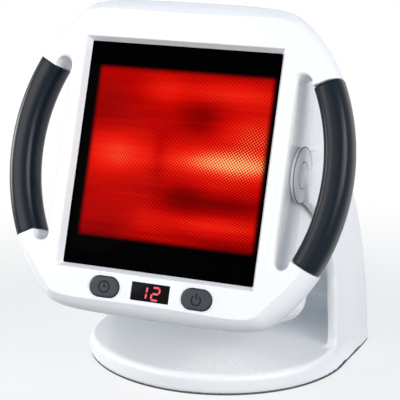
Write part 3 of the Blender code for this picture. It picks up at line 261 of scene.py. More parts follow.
def makeMouldedSkin():
    # Moulded plastic or rubber: broad faint cloudiness in colour and gloss, and a fine grain as height.
    # Roughness = its mean + (cloud + grain - 1) spread
    tree, given, out = newGroup(
        "mouldedSkin",
        {"Vector": "Vector", "Colour": "Color", "Shade": "Color", "Grain Scale": "Float", "Roughness": "Float",
         "Spread": "Float"},
        skinOutputs)
    cloud = noise(tree, given["Vector"], 11.0, 3.0)
    grain = noise(tree, given["Vector"], given["Grain Scale"], 2.0)
    uneven = maths(tree, "SUBTRACT", maths(tree, "ADD", cloud, grain), 1.0)
    offset = maths(tree, "MULTIPLY", uneven, given["Spread"])
    feed(out, {"Colour": blend(tree, cloud, given["Colour"], given["Shade"]),
               "Roughness": maths(tree, "ADD", given["Roughness"], offset), "Height": grain})
    return tree


def makeDrawnMetal(spread=0.3):
    # Drawn or turned metal: fine streaks along one direction, in colour, gloss and height.
    # Roughness = its mean + (streak - 0.5) spread
    tree, given, out = newGroup(
        "drawnMetal",
        {"Vector": "Vector", "Colour": "Color", "Shade": "Color", "Streak": "Vector", "Roughness": "Float"},
        skinOutputs)
    stretched = node(tree, "VectorMath", {0: given["Vector"], 1: given["Streak"]}, operation="MULTIPLY")
    streak = noise(tree, stretched.outputs[0], 1.0, 4.0)
    offset = maths(tree, "MULTIPLY", maths(tree, "SUBTRACT", streak, 0.5), spread)
    feed(out, {"Colour": blend(tree, streak, given["Colour"], given["Shade"]),
               "Roughness": maths(tree, "ADD", given["Roughness"], offset, clamp=True), "Height": streak})
    return tree


def makeHeatSpot():
    # Soft spot of heat: exp(-((x - x0) / wide)^2 - ((v - v0) / high)^2), times its gain
    tree, given, out = newGroup(
        "heatSpot", dict.fromkeys(("X", "V", "At X", "At V", "Wide", "High", "Gain", "Sum"), "Float"), {"Sum": "Float"})
    squares = []
    for value, at, size in (("X", "At X", "Wide"), ("V", "At V", "High")):
        share = maths(tree, "DIVIDE", maths(tree, "SUBTRACT", given[value], given[at]), given[size])
        squares.append(maths(tree, "MULTIPLY", share, share))
    fall = maths(tree, "EXPONENT", maths(tree, "MULTIPLY", maths(tree, "ADD", *squares), -1.0))
    feed(out, {"Sum": maths(tree, "ADD", maths(tree, "MULTIPLY", fall, given["Gain"]), given["Sum"])})
    return tree


# Where the pane glows more or less than its mean: place x and v, half width and height in mm, gain
heatSpots = [
    (42, 51, 46, 8, 0.30), (-12, 51, 16, 11, 0.16), (20, 33, 15, 11, -0.20), (62, 25, 28, 14, 0.26),
    (50, 1, 44, 7, 0.56), (44, 0, 50, 16, 0.30), (-44, 2, 25, 13, 0.30), (-48, 0, 28, 22, 0.12),
    (-10, 0, 6, 16, -0.12), (14, -26, 17, 9, -0.23), (52, -28, 30, 6, -0.20), (42, -44, 42, 6, 0.26),
    (-12, -46, 15, 9, 0.12), (-60, 34, 24, 17, -0.10), (-56, -57, 34, 8, -0.12), (54, -60, 30, 6, -0.18),
]
glowWindow = {"x": 2.8, "v": 2.1, "halfX": 68.1, "halfV": 62.2, "soft": 2.4}
glowLook = {"mean": 0.44, "streakScale": (0.018, 0.0, 0.30), "streaks": 0.20, "latticeTurn": radians(38),
            "latticeScale": 0.56, "dimple": 0.38, "patchScale": 0.03, "deeperRight": 0.004, "middleDepth": 0.72,
            "depth": 3.8, "gain": 0.62}
heatRamp = [(0.0, (0.05, 0.0, 0.0)), (0.17, (0.22, 0.0, 0.0)), (0.26, (0.40, 0.0, 0.0)), (0.42, (0.86, 0.007, 0.002)),
            (0.55, (0.90, 0.026, 0.009)), (0.68, (0.90, 0.12, 0.04)), (0.84, (0.82, 0.46, 0.15)),
            (1.0, (0.90, 0.66, 0.28))]


def makeHeaterGlow():
    # The heater seen through the pane: (mean + spots + streaks) (1 + dimples depth), through the colour ramp and shown
    # only inside its window; the dimples lie on a turned square lattice and are deeper to the right
    look, w = glowLook, glowWindow
    tree, given, out = newGroup("heaterGlow", {"Vector": "Vector"}, {"Glow": "Color"})
    spot = makeHeatSpot()
    scaled = node(tree, "VectorMath", {0: given["Vector"], "Scale": 1 / mm}, operation="SCALE").outputs[0]
    split = node(tree, "SeparateXYZ", {0: scaled})
    x, v = split.outputs["X"], split.outputs["Z"]
    heat = look["mean"]
    for atX, atV, wide, high, gain in heatSpots:
        values = {"X": x, "V": v, "At X": atX, "At V": atV, "Wide": wide, "High": high, "Gain": gain, "Sum": heat}
        heat = node(tree, "Group", values, node_tree=spot).outputs["Sum"]
    long = node(tree, "VectorMath", {0: scaled, 1: look["streakScale"]}, operation="MULTIPLY").outputs[0]
    streak = maths(tree, "SUBTRACT", noise(tree, long, 1.0, 3.0), 0.5)
    heat = maths(tree, "ADD", heat, maths(tree, "MULTIPLY", streak, look["streaks"]))
    turn = node(tree, "Mapping", {"Vector": scaled, "Rotation": (radians(90), 0, look["latticeTurn"])})
    dimples = node(tree, "TexVoronoi", {"Vector": turn.outputs[0], "Scale": look["latticeScale"],
                                                  "Randomness": 0.0}, voronoi_dimensions="2D")
    dots = maths(tree, "SUBTRACT", look["dimple"], dimples.outputs["Distance"])
    right = maths(tree, "MULTIPLY_ADD", x, look["deeperRight"], look["middleDepth"])
    patches = maths(tree, "MULTIPLY", right, noise(tree, scaled, look["patchScale"], 1.0), clamp=True)
    relief = maths(tree, "MULTIPLY", dots, maths(tree, "MULTIPLY", patches, look["depth"]))
    heat = maths(tree, "MULTIPLY", heat, maths(tree, "ADD", relief, 1.0))
    ramp = node(tree, "ValToRGB", {0: maths(tree, "MULTIPLY", heat, look["gain"])})
    elements = ramp.color_ramp.elements
    for place, colour in heatRamp[1:-1]:
        elements.new(place)
    for element, (place, colour) in zip(elements, heatRamp):
        element.position, element.color = place, (*colour, 1.0)
    inside = []
    for value, centre, half in ((x, w["x"], w["halfX"]), (v, w["v"], w["halfV"])):
        away = maths(tree, "ABSOLUTE", maths(tree, "SUBTRACT", value, centre))
        low, high = half - w["soft"], half + w["soft"]
        limits = {"Value": away, "From Min": low, "From Max": high, "To Min": 1.0, "To Max": 0.0}
        inside.append(node(tree, "MapRange", limits, interpolation_type="SMOOTHSTEP").outputs[0])
    feed(out, {"Glow": blend(tree, maths(tree, "MULTIPLY", *inside), (0, 0, 0, 1), ramp.outputs["Color"])})
    return tree


mouldedSkin, drawnMetal, heaterGlow = makeMouldedSkin(), makeDrawnMetal(), makeHeaterGlow()
otherSockets = {"specular": "Specular IOR Level", "coat": "Coat Weight", "metallic": "Metallic"}


def blankMaterial(name):
    # Kept under its slot's name too, such as white_shell for whiteShell
    made = bpy.data.materials.new(name)
    finishes["".join("_" + c.lower() if c.isupper() else c for c in name)] = made
    made.use_nodes = True
    return made, made.node_tree, made.node_tree.nodes["Principled BSDF"]


def newMaterial(name, group, values, bump, others):
    # Object coordinates through a shared group into colour, roughness and height
    made, tree, shader = blankMaterial(name)
    skin = node(tree, "Group", {"Vector": objectPlace(tree), **values}, node_tree=group).outputs
    strength, distance = bump
    lifted = node(tree, "Bump", {"Strength": strength, "Distance": distance, "Height": skin["Height"]})
    feed(shader, {"Base Color": skin["Colour"], "Roughness": skin["Roughness"], "Normal": lifted.outputs["Normal"]})
    feed(shader, {otherSockets[key]: value for key, value in others.items()})
    return made


def moulded(name, colour, shade, roughness, spread=0.05, grain=900.0, bump=(0.05, 0.0002), **others):
    values = {"Colour": (*colour, 1), "Shade": (*shade, 1), "Grain Scale": grain, "Roughness": roughness,
              "Spread": spread}
    return newMaterial(name, mouldedSkin, values, bump, others)


def metal(name, colour, shade, roughness, streak=(90.0, 900.0, 900.0), bump=(0.15, 0.0001)):
    values = {"Colour": (*colour, 1), "Shade": (*shade, 1), "Streak": streak, "Roughness": roughness}
    return newMaterial(name, drawnMetal, values, bump, {"metallic": 1.0})


moulded("whiteShell", (0.900, 0.903, 0.912), (0.885, 0.890, 0.902), 0.27, 0.02, 700.0, (0.01, 0.000005))
moulded("gripRubber", (0.003, 0.009, 0.017), (0.002, 0.006, 0.012), 0.25, 0.05, 1500.0, (0.08, 0.0002),
        specular=0.18)
moulded("buttonPlastic", (0.050, 0.052, 0.062), (0.042, 0.044, 0.053), 0.42, 0.06, 1400.0, (0.12, 0.0002),
        specular=0.2)
moulded("symbolInk", (0.007, 0.008, 0.012), (0.005, 0.006, 0.009), 0.5, specular=0.1)
moulded("displayPane", (0.004, 0.003, 0.004), (0.003, 0.002, 0.003), 0.14, 0.03, 300.0, specular=0.04)
moulded("blackPlastic", (0.028, 0.028, 0.030), (0.020, 0.020, 0.022), 0.46, 0.08, 1200.0, (0.2, 0.0003))
moulded("silicone", (0.060, 0.060, 0.062), (0.045, 0.045, 0.047), 0.68, 0.08, 1600.0, (0.2, 0.0003))
# Dark grey for painted shadow: the shadow lines round the pods and under the foot's edge
moulded("seamGrey", (0.13, 0.14, 0.16), (0.10, 0.11, 0.13), 0.7, specular=0.1)
moulded("holderCeramic", (0.80, 0.77, 0.70), (0.72, 0.69, 0.62), 0.62, 0.10, 700.0, (0.3, 0.0004))
moulded("boardGreen", (0.03, 0.17, 0.08), (0.02, 0.13, 0.06), 0.5, 0.10, 260.0, (0.2, 0.0003))
moulded("acetal", (0.76, 0.75, 0.70), (0.72, 0.70, 0.65), 0.4, 0.06)
moulded("quartz", (0.78, 0.32, 0.20), (0.70, 0.25, 0.15), 0.10, 0.04, 200.0, coat=0.4)
metal("steel", (0.62, 0.62, 0.63), (0.50, 0.50, 0.52), 0.32)
metal("brightAluminium", (0.84, 0.84, 0.86), (0.76, 0.76, 0.79), 0.18)
metal("bushBrass", (0.74, 0.56, 0.28), (0.62, 0.45, 0.20), 0.30)
metal("filamentWire", (0.32, 0.17, 0.10), (0.20, 0.10, 0.06), 0.45)
glassLook = {"dark": (0.0003, 0.0002, 0.0002, 1), "light": (0.0007, 0.0005, 0.0005, 1), "smearScale": 18.0,
             "roughest": 0.16, "specular": 0.004}
digitLook = {"cool": (0.80, 0.035, 0.07, 1), "hot": (0.95, 0.09, 0.13, 1), "base": (0.05, 0.004, 0.006, 1),
             "grainScale": 420.0}


def glowingGlass():
    # Black glass ceramic. The glow is read in the head's frame: n = y' cos - z' sin and v = y' sin + z' cos
    made, tree, shader = blankMaterial("darkGlass")
    c, s = cos(pivot["tilt"]), sin(pivot["tilt"])
    shift = (0, pivot["n"] - pivot["y"] * c + pivot["z"] * s, pivot["v"] - pivot["y"] * s - pivot["z"] * c)
    place = objectPlace(tree)
    inHead = node(tree, "Mapping", {"Vector": place, "Rotation": (pivot["tilt"], 0, 0), "Location": shift})
    glow = node(tree, "Group", {"Vector": inHead.outputs[0]}, node_tree=heaterGlow)
    smear = noise(tree, place, glassLook["smearScale"], 3.0)
    feed(shader, {"Base Color": blend(tree, smear, glassLook["dark"], glassLook["light"]),
                  "Roughness": maths(tree, "MULTIPLY", smear, glassLook["roughest"]),
                  "Specular IOR Level": glassLook["specular"], "Emission Color": glow.outputs["Glow"],
                  "Emission Strength": 1.0})
    return made


def litDigits():
    # Red segments, uneven by a fine noise
    made, tree, shader = blankMaterial("litDigits")
    uneven = noise(tree, objectPlace(tree), digitLook["grainScale"], 2.0)
    feed(shader, {"Emission Color": blend(tree, uneven, digitLook["cool"], digitLook["hot"]),
                  "Base Color": digitLook["base"], "Emission Strength": 1.0})
    return made


glowingGlass()
litDigits()
print("materials made:", len(bpy.data.materials))

# Front bezel

bezel = {**inMm(front=-6, edge=1.1, edgeDrop=0.5, widest=8, rear=22, rearInset=4.5, cavityX=83.3, cavityV=106,
                cavityCorner=20, cavityFront=-0.3, plateBack=-3.2, troughX=63.3, troughIn=87.3, troughOut=105.6,
                troughCorner=1, troughRear=2),
         "flankStart": radians(38), "edgeRings": 5, "flankRings": 15, "rearRings": 9}
faceOutline = fourQuarters({"halfX": 0.1282, "halfV": 0.1075, "corner": (0.0840, 0.1018), "lean": radians(38),
                            "topReach": 0.0596, "topTurn": 0.0113, "sideTurn": 0.0213, "sideReach": 0.0632})
upper = {"halfX": 0.1342, "halfV": 0.1174, "corner": (0.0852, 0.1091), "lean": radians(54), "topReach": 0.0617,
         "topTurn": 0.0119, "sideTurn": 0.0240, "sideReach": 0.0584}
upperOutline = fourQuarters(upper)
lowerOutline = fourQuarters({**upper, "halfV": 0.1172, "corner": (0.0872, 0.1100), "lean": radians(53),
                             "sideTurn": 0.0250})
widestOutline = np.where(upperOutline[:, 1:] < 0, lowerOutline, upperOutline)  # fuller corners below the middle
recess = {**inMm(halfX=75, halfV=83, lip=0.5, corner=1.2),
          "draft": 3.2 / 6, "depths": (-1.0, -0.15, 0.0, 0.15, 0.35, 0.5, 1.0, 6.0, 8.0)}  # depths in mm
slotHole = {**inMm(frontX=89, rearX=86, draftEnd=12, halfV=69, endR=6, softLip=4.4, hardLip=0.7, flare=0.3, above=1,
                   underGrip=1),
            "lipPower": 1.5, "lipStart": 0.08, "lipRings": 9, "straightSteps": 30, "endSteps": 17, "arcSteps": 33}
grip = {**inMm(arcR=148, middleX=123.6, endV=65, wide=21.2, deep=26, n=10, coreWide=15.2, coreDeep=18, endRound=0.9,
               gap=0.3, pocketWide=30, pocketDeep=44),
        "power": 2.7, "corePower": 4.0, "pocketPower": 8}
grip["centreX"] = grip["middleX"] - grip["arcR"]
grip["angle"] = asin(grip["endV"] / grip["arcR"])
# Holes are listed as depth and growth in mm: a small lip in front, then straight walls
button = {**inMm(x=36.3, v=-97.1, halfX=11.5, halfV=7.3, gap=0.6, proud=0.8, crown=0.7, rim=1.1, rimGap=0.3,
                 rimBack=-1.7, stemR=2.2, stemEnd=1.0, stemLap=0.3, grooveIn=1.5, grooveOut=2.1, grooveDeep=0.4,
                 grooveTop=-0.5, grooveSlope=0.1),
          "crownReach": 2.2, "crownPower": 0.9, "crownRings": 8,
          "hole": ((-1.0, 0.5), (0.03, 0.28), (0.1, 0.16), (0.2, 0.07), (0.35, 0.0), (3.5, 0.0))}
window = {**inMm(halfX=14.75, halfV=6.35, v=-97, corner=0.5, sunk=0.3, thick=2.2, gap=0.3),
          "hole": ((-1.0, 0.25), (0.03, 0.12), (0.12, 0.03), (0.2, 0.0), (3.5, 0.0))}


def bezelRings():
    # Soft turn from the flat face (back by the share's square), a bulging flank out to the widest line (out by the
    # sine and back by the cosine of one angle), then in to the rear edge in a quarter round
    b, rings = bezel, []
    for share in np.linspace(0, 1, b["edgeRings"]):
        rings.append(headRing(grown(faceOutline, -b["edge"] * (1 - share)), b["front"] + b["edgeDrop"] * share ** 2))
    start, first = b["front"] + b["edgeDrop"], b["flankStart"]
    for angle in np.linspace(first, pi / 2, b["flankRings"])[1:]:
        out = (sin(angle) - sin(first)) / (1 - sin(first))
        back = 1 - cos(angle) / cos(first)
        rings.append(headRing(faceOutline + (widestOutline - faceOutline) * out, start + (b["widest"] - start) * back))
    for angle in np.linspace(0, pi / 2, b["rearRings"])[1:]:
        outline = grown(widestOutline, -b["rearInset"] * (1 - cos(angle)))
        rings.append(headRing(outline, b["widest"] + (b["rear"] - b["widest"]) * sin(angle)))
    return rings


def slotRings(side):
    # Straight beside the glass, round at the ends and along the grip; its lip is a quarter round, widest by the glass
    s = slotHole
    endV, endX = s["halfV"] - s["endR"], s["frontX"] + s["endR"]
    reach = grip["arcR"] - grip["wide"] / 2 + s["underGrip"]
    limit = asin((endV - s["endR"]) / reach)
    turn = np.linspace(0, pi, s["endSteps"])[1:]
    arc = np.linspace(limit, -limit, s["arcSteps"])
    straight = np.linspace(-endV, endV, s["straightSteps"])
    x = np.concatenate([np.full(len(straight), s["frontX"]), endX - s["endR"] * np.cos(turn),
                        grip["centreX"] + reach * np.cos(arc), endX + s["endR"] * np.cos(turn - turn[0])])
    v = np.concatenate([straight, endV + s["endR"] * np.sin(turn), reach * np.sin(arc),
                        -endV - s["endR"] * np.sin(turn - turn[0])])
    base = np.stack([x, v], -1)
    share = np.clip((endX + s["endR"] - x) / (2 * s["endR"]), 0, 1)
    lip = s["hardLip"] + (s["softLip"] - s["hardLip"]) * share ** s["lipPower"]
    rings = [(grown(base, lip + s["flare"]), bezel["front"] - s["above"])]
    for angle in np.linspace(s["lipStart"], pi / 2, s["lipRings"]):
        rings.append((grown(base, lip * (1 - sin(angle))), bezel["front"] + lip * (1 - cos(angle))))
    inner = np.stack([x - (s["frontX"] - s["rearX"]) * share, v], -1)
    rings += [(inner, s["draftEnd"]), (inner, bezel["rear"] + past)]
    return [headPoints(side * o[:, 0], n, o[:, 1]) for o, n in rings]


def sleeveRings(side, outer, bore, angle, endRound=0.0, steps=72, endSteps=5, boreSteps=24):
    # A section carried along the grip's arc: over the outside from end to end and back through the bore; both ends are
    # quarter rounds, along the arc by 1 - cos or 1 - sin of an angle and inwards by the other
    lap = endRound / grip["arcR"]
    quarter = np.linspace(0, pi / 2, endSteps) if endRound else np.zeros(0)
    rows = [(-angle + lap * (1 - cos(turn)), outer, -endRound * (1 - sin(turn))) for turn in quarter[:-1]]
    rows += [(a, outer, 0.0) for a in np.linspace(-angle + lap, angle - lap, steps)]
    rows += [(angle - lap * (1 - sin(turn)), outer, -endRound * (1 - cos(turn))) for turn in quarter[1:]]
    rows += [(a, bore, 0.0) for a in np.linspace(angle, -angle, boreSteps)]
    rings = []
    for a, section, shift in rows:
        wide = section * (1 + shift / np.abs(section).max(0))
        radius = grip["arcR"] + wide[:, 0]
        rings.append(headPoints(side * (grip["centreX"] + radius * cos(a)), grip["n"] + wide[:, 1], radius * sin(a)))
    return rings


def pillOutline(x, grow, steps=14):
    # The button's round-ended outline, grown evenly
    return roundedRect(button["halfX"] + grow, button["halfV"] + grow, button["halfV"] + grow, steps, x, button["v"])


def windowOutline(grow, steps=4):
    # The display window's outline, grown evenly with its small corners kept
    w = window
    return roundedRect(w["halfX"] + grow, w["halfV"] + grow, w["corner"], steps, 0, w["v"])


def mouthRings():
    # The window's walls close in evenly with depth; their front edge opens by the square of what is left of the lip
    r, rings = recess, []
    for depth in r["depths"]:
        n = bezel["front"] + depth * mm
        lip = r["lip"] * max(0.0, 1 - max(depth, 0) * mm / r["lip"]) ** 2
        grow = -r["draft"] * max(n, bezel["front"]) + lip
        rings.append(headRing(roundedRect(r["halfX"] + grow, r["halfV"] + grow, r["corner"] + lip), n))
    return rings


def grooveRings(x):
    # Shallow ring round a button, with sloping sides
    b, slope, rings = button, button["grooveSlope"], []
    for grow, depth in ((b["grooveIn"] - slope, b["grooveTop"]), (b["grooveOut"] + slope, b["grooveTop"]),
                        (b["grooveOut"] + slope, 0.0), (b["grooveOut"] - slope, b["grooveDeep"]),
                        (b["grooveIn"] + slope, b["grooveDeep"]), (b["grooveIn"] - slope, 0.0)):
        rings.append(headRing(pillOutline(x, grow), bezel["front"] + depth))
    return rings


def makeBezel():
    # The lofted shell less its cavity, two troughs, the window's mouth, slots, grip pockets, and small holes
    b, g = bezel, grip
    body = loft("bezelShell", bezelRings())
    cavity = roundedRect(b["cavityX"], b["cavityV"], b["cavityCorner"])
    tools = [headPrism("cavity", cavity, b["cavityFront"], b["rear"] + past)]
    troughV, troughHalf = (b["troughOut"] + b["troughIn"]) / 2, (b["troughOut"] - b["troughIn"]) / 2
    for v in (-troughV, troughV):
        outline = roundedRect(b["troughX"], troughHalf, b["troughCorner"], 3, 0, v)
        tools.append(headPrism("trough", outline, b["plateBack"], b["troughRear"]))
    tools.append(loft("mouth", mouthRings()))
    cut(body, *tools)
    cut(body, *[loft("slot", slotRings(side)) for side in (-1, 1)])
    core = superellipse(g["coreWide"] / 2, g["coreDeep"] / 2, g["corePower"], 48)
    space = superellipse(g["pocketWide"] / 2, g["pocketDeep"] / 2, g["pocketPower"], 48)
    reach = g["angle"] + g["gap"] / g["arcR"]
    cut(body, *[closedBand("pocket", sleeveRings(side, space, core, reach, 0.0, 40)) for side in (-1, 1)])
    tools = []
    for x in (-button["x"], button["x"]):
        tools.append(loft("buttonHole", [headRing(pillOutline(x, button["gap"] + lip * mm), b["front"] + depth * mm)
                                         for depth, lip in button["hole"]]))
        tools.append(closedBand("groove", grooveRings(x)))
    tools.append(loft("windowHole", [headRing(windowOutline(window["gap"] + lip * mm), b["front"] + depth * mm)
                                     for depth, lip in window["hole"]]))
    cut(body, *tools)
    return dress(body, "head", "white_shell", ["front_bezel"], sharp=34, weighted=True)


makeBezel()
print("bezel made")

# Grips, buttons, display and glass

digit = {**inMm(wide=5.6, high=9.0, stroke=1.5, gap=0.25, v=-0.4, proud=0.04, deep=0.2),
         "lean": 0.07}
figures = ((-8.6 * mm, "bc"), (1.2 * mm, "abged"))  # left edge and lit segments
segmentEnds = {"a": ((0, 2), (1, 2)), "b": ((1, 2), (1, 1)), "c": ((1, 1), (1, 0)), "d": ((0, 0), (1, 0)),
               "e": ((0, 1), (0, 0)), "g": ((0, 1), (1, 1))}
symbol = {**inMm(clockR=4.1, powerR=3.5, powerDown=0.7, wide=1.0, hand=0.9, proud=0.05, deep=0.2),  # strokes in mm
          "longHand": ((0, -0.3), (0, 2.7)), "shortHand": ((0, 0), (2.0, 0.6)), "bar": ((0, 0.2), (0, 4.4)),
          "powerArc": (125, 415)}
pane = {**inMm(halfX=79, halfV=87),  # rows of depth and growth, in mm
        "corner": 3, "rows": ((0.0, -0.4), (0.12, -0.1), (0.4, 0.0), (3.6, 0.0), (3.9, -0.1), (4.0, -0.4))}


def makeGrip(side, name, packed):
    g = grip
    outer = superellipse(g["wide"] / 2, g["deep"] / 2, g["power"], 72)
    bore = superellipse(g["coreWide"] / 2 + g["gap"], g["coreDeep"] / 2 + g["gap"], g["corePower"], 72)
    body = closedBand(name, sleeveRings(side, outer, bore, g["angle"], g["endRound"]))
    return dress(body, "head", "grip_rubber", [packed], sharp=50)


def strokes(name, parts, front, back):
    # Flat strokes: each path of points gets half its width to both sides along its normals, and a depth
    points, quads, caps = [], [], []
    for path, width, closed in parts:
        path = np.asarray(path, float)
        along = np.roll(path, -1, 0) - np.roll(path, 1, 0)
        if not closed:
            along[0], along[-1] = path[1] - path[0], path[-1] - path[-2]
        along /= np.linalg.norm(along, axis=1, keepdims=True)
        side = np.stack([-along[:, 1], along[:, 0]], -1) * width / 2
        edges = ((path - side, front), (path + side, front), (path + side, back), (path - side, back))
        base = sum(len(p) for p in points)
        quads.append(gridFaces(len(path), 4, closeRows=closed) + base)
        if not closed:
            last = base + 4 * (len(path) - 1)
            caps += [[base, base + 1, base + 2, base + 3], [last, last + 1, last + 2, last + 3]]
        points.append(np.stack([headRing(p, n) for p, n in edges], 1).reshape(-1, 3))
    return faceOutwards(pieceFrom(name, np.concatenate(points), np.concatenate(quads), caps))


def makeButton(side, name, body, packed):
    # Pill with a crown: in by the crown's reach times 1 - sin, back by (1 - cos) to a power; a rim and a stem behind
    b = button
    top, x = bezel["front"] - b["proud"], side * b["x"]
    rows = [(top + b["crown"] * (1 - cos(angle)) ** b["crownPower"], -b["crownReach"] * b["crown"] * (1 - sin(angle)))
            for angle in np.linspace(0.0, pi / 2, b["crownRings"])]
    rimFront = bezel["plateBack"] + b["rimGap"]
    rows += [(rimFront, 0.0), (rimFront, b["rim"]), (b["rimBack"], b["rim"])]
    pill = loft(name, [headRing(pillOutline(x, grow, 16), n) for n, grow in rows])
    stem = headPrism("stem", circle(x, b["v"], b["stemR"], count=32), b["rimBack"] - b["stemLap"], b["stemEnd"])
    cut(pill, stem, operation="UNION")
    return dress(pill, body, "button_plastic", [packed], sharp=34, weighted=True)


def makeSymbols():
    # Generic clock and power signs, printed on the buttons' flat tops
    top, s, x, v = bezel["front"] - button["proud"], symbol, button["x"], button["v"]

    def straight(x, ends, width):
        return [(x + a * mm, v + b * mm) for a, b in ends], width, False

    clock = [(circle(-x, v, s["clockR"]), s["wide"], True), straight(-x, s["longHand"], s["hand"]),
             straight(-x, s["shortHand"], s["hand"])]
    arc = circle(x, v - s["powerDown"], s["powerR"], *s["powerArc"], closed=False)
    power = [(arc, s["wide"], False), straight(x, s["bar"], s["wide"])]
    for name, parts, body in (("timerSymbol", clock, "timer_key"), ("powerSymbol", power, "power_key")):
        dress(strokes(name, parts, top - s["proud"], top + s["deep"]), body, "button_plastic", finish="symbol_ink")


def makeDisplay():
    # Dark window with a small bevel, and seven-segment figures whose segments are hexagons between two corners
    w, d = window, digit
    front = bezel["front"] + w["sunk"]
    rings = [headRing(windowOutline(grow * mm, 5), front + depth * mm)
             for depth, grow in ((0.0, -0.3), (0.06, -0.12), (0.2, 0.0), (w["thick"] / mm, 0.0))]
    dress(loft("displayPane", rings), "head", "display_pane", ["display_window"])
    points, faces = [], []
    for firstX, lit in figures:
        for segment in lit:
            a, b = (np.array([p[0] * d["wide"], p[1] * d["high"] / 2]) for p in segmentEnds[segment])
            along = (b - a) / np.linalg.norm(b - a)
            across = np.array([-along[1], along[0]]) * d["stroke"] / 2
            inset, taper = along * d["gap"], along * d["stroke"] / 2
            outline = np.array([a + inset, a + inset + taper + across, b - inset - taper + across, b - inset,
                                b - inset - taper - across, a + inset + taper - across])
            outline[:, 0] += firstX + outline[:, 1] * d["lean"]
            outline[:, 1] += w["v"] - d["high"] / 2 + d["v"]
            base = 12 * len(points)
            points.append(np.concatenate([headRing(outline, front - d["proud"]), headRing(outline, front + d["deep"])]))
            faces += [list(range(base, base + 6)), list(range(base + 6, base + 12))]
            faces += [[base + i, base + (i + 1) % 6, base + 6 + (i + 1) % 6, base + 6 + i] for i in range(6)]
    digits = faceOutwards(pieceFrom("displayDigits", np.concatenate(points), np.zeros((0, 4), int), faces))
    dress(digits, "head", "display_pane", finish="lit_digits")


def makeGlass():
    # Flat pane with a small bevel round its edge
    p = pane
    rings = [headRing(roundedRect(p["halfX"] + grow * mm, p["halfV"] + grow * mm, (p["corner"] + grow) * mm, 6), n * mm)
             for n, grow in p["rows"]]
    dress(loft("glassPane", rings), "head", "dark_glass", ["glass_panel"])


makeGrip(-1, "leftGrip", "left_grip")
makeGrip(1, "rightGrip", "right_grip")
makeButton(-1, "timerButton", "timer_key", "timer_button")
makeButton(1, "powerButton", "power_key", "power_button")
makeSymbols()
makeDisplay()
makeGlass()
print("grips, buttons, display and glass made")

# Stand

stand = {**inMm(footHalf=106.5, rearHalf=108.0, podHalf=89.1, frontFlare=12.0, rearFlare=18.4, spreadFrom=57.5,
                spreadTo=112, wall=8.0, innerHalf=86.5, reach=101.5, centreY=60.6, rearY=150.6, top=181,
                archStart=12.4, thinRear=8, topCorner=4, footTop=16, low=0.9, edgeIn=0.6, edgeUp=1.2, sideUp=2.4,
                rearTaper=2.2, lip=4.2, skirt=7.0, skirtFrom=4, skirtTo=50, footCorner=34, fillet=14, toe=7,
                armFront=57.5, backRim=75, backFlat=36.5, backRise=60, backWall=7.5, backOpens=135, insideCorner=30.5,
                cornerShrinks=26.5, shrinksOver=53, clearFront=-99, clearTop=190, sweepLow=67.3, sweepTurn=109.3,
                hollowIn=4.5, hollowTop=4.6, hollowEnd=12, voxel=1.45),
         "frontPower": 0.5, "rearPower": 0.88, "archPower": 2.4, "archEnd": 0.9997, "archRings": 44,
         "cornerFades": 0.15, "cornerPower": 0.8, "skirtPower": 1.8, "clearHalf": 0.12, "clearRear": 0.16,
         "podFront": (3 * mm, 146 * mm), "sweepHigh": (28 * mm, 134.3 * mm), "rounds": 7}
# Some of these sizes are for the dark rings round the pod's cap and rim, which are painted shadow lines
pod = {**inMm(inner=86.6, outer=89.5, bore=10, rim=20.3, seamDeep=0.6, seamWide=0.6, proud=0.02),
       "rows": ((0.3, 10), (0, 10.3), (0, 19.7), (0.2, 20.1), (0.7, 20.3)),  # distance in and radius, in mm
       "capSeam": (9.6 * mm, 0.0), "rimSeam": (20.35 * mm, 0.3 * mm)}
steps = {"archSide": 18, "footSide": 14, "footFront": 81, "corner": 15, "back": 12}
# The dark band under the foot's edge is painted shadow for the gap beneath it
baseTrim = ((0.9, 0.05), (0.9, 1.0), (3.4, 1.0), (3.4, 0.05))  # inset and height of its corners in mm


def standPoints(x, y, z):
    # The stand's own y is measured from the pivot
    return np.stack(np.broadcast_arrays(x, y + pivot["y"], z), -1)


def smoothStep(value, low, high):
    # 3 t^2 - 2 t^3, from 0 at low to 1 at high
    t = np.clip((value - low) / (high - low), 0, 1)
    return t * t * (3 - 2 * t)


def outsideHalf(z, y):
    # Half width: the pod's half width plus a flare that grows to the foot as a power of the height that is left
    rest = max(0.0, 1 - z / pivot["z"])
    front = stand["podHalf"] + stand["frontFlare"] * rest ** stand["frontPower"]
    rear = stand["podHalf"] + stand["rearFlare"] * rest ** stand["rearPower"]
    return front + (rear - front) * smoothStep(y, stand["spreadFrom"], stand["spreadTo"])


def insideHalf(z, y):
    # One wall in from the outside, but never nearer to the head than its room between the arms
    return np.maximum(stand["innerHalf"], outsideHalf(z, y) - stand["wall"])


def rearLine(z):
    # Back of the arch, a superellipse quarter
    return stand["rearY"] * max(0.0, 1 - (z / stand["top"]) ** stand["archPower"]) ** (1 / stand["archPower"])


def archRing(half, frontY, rearY, corner, z):
    # Plan of the arch: along one side, round the corner, across the back, and the same mirrored
    y = np.linspace(frontY, rearY - corner, steps["archSide"])
    turn = np.linspace(0, pi / 2, steps["corner"])[1:]
    edge = half(z, np.array([rearY - corner]))[0] - corner
    back = np.linspace(edge, 0, steps["back"])[1:]
    x = np.concatenate([half(z, y), edge + corner * np.cos(turn), back])
    y = np.concatenate([y, rearY - corner + corner * np.sin(turn), np.full(len(back), rearY)])
    return standPoints(np.concatenate([x, -x[-2::-1]]), np.concatenate([y, y[-2::-1]]), z)


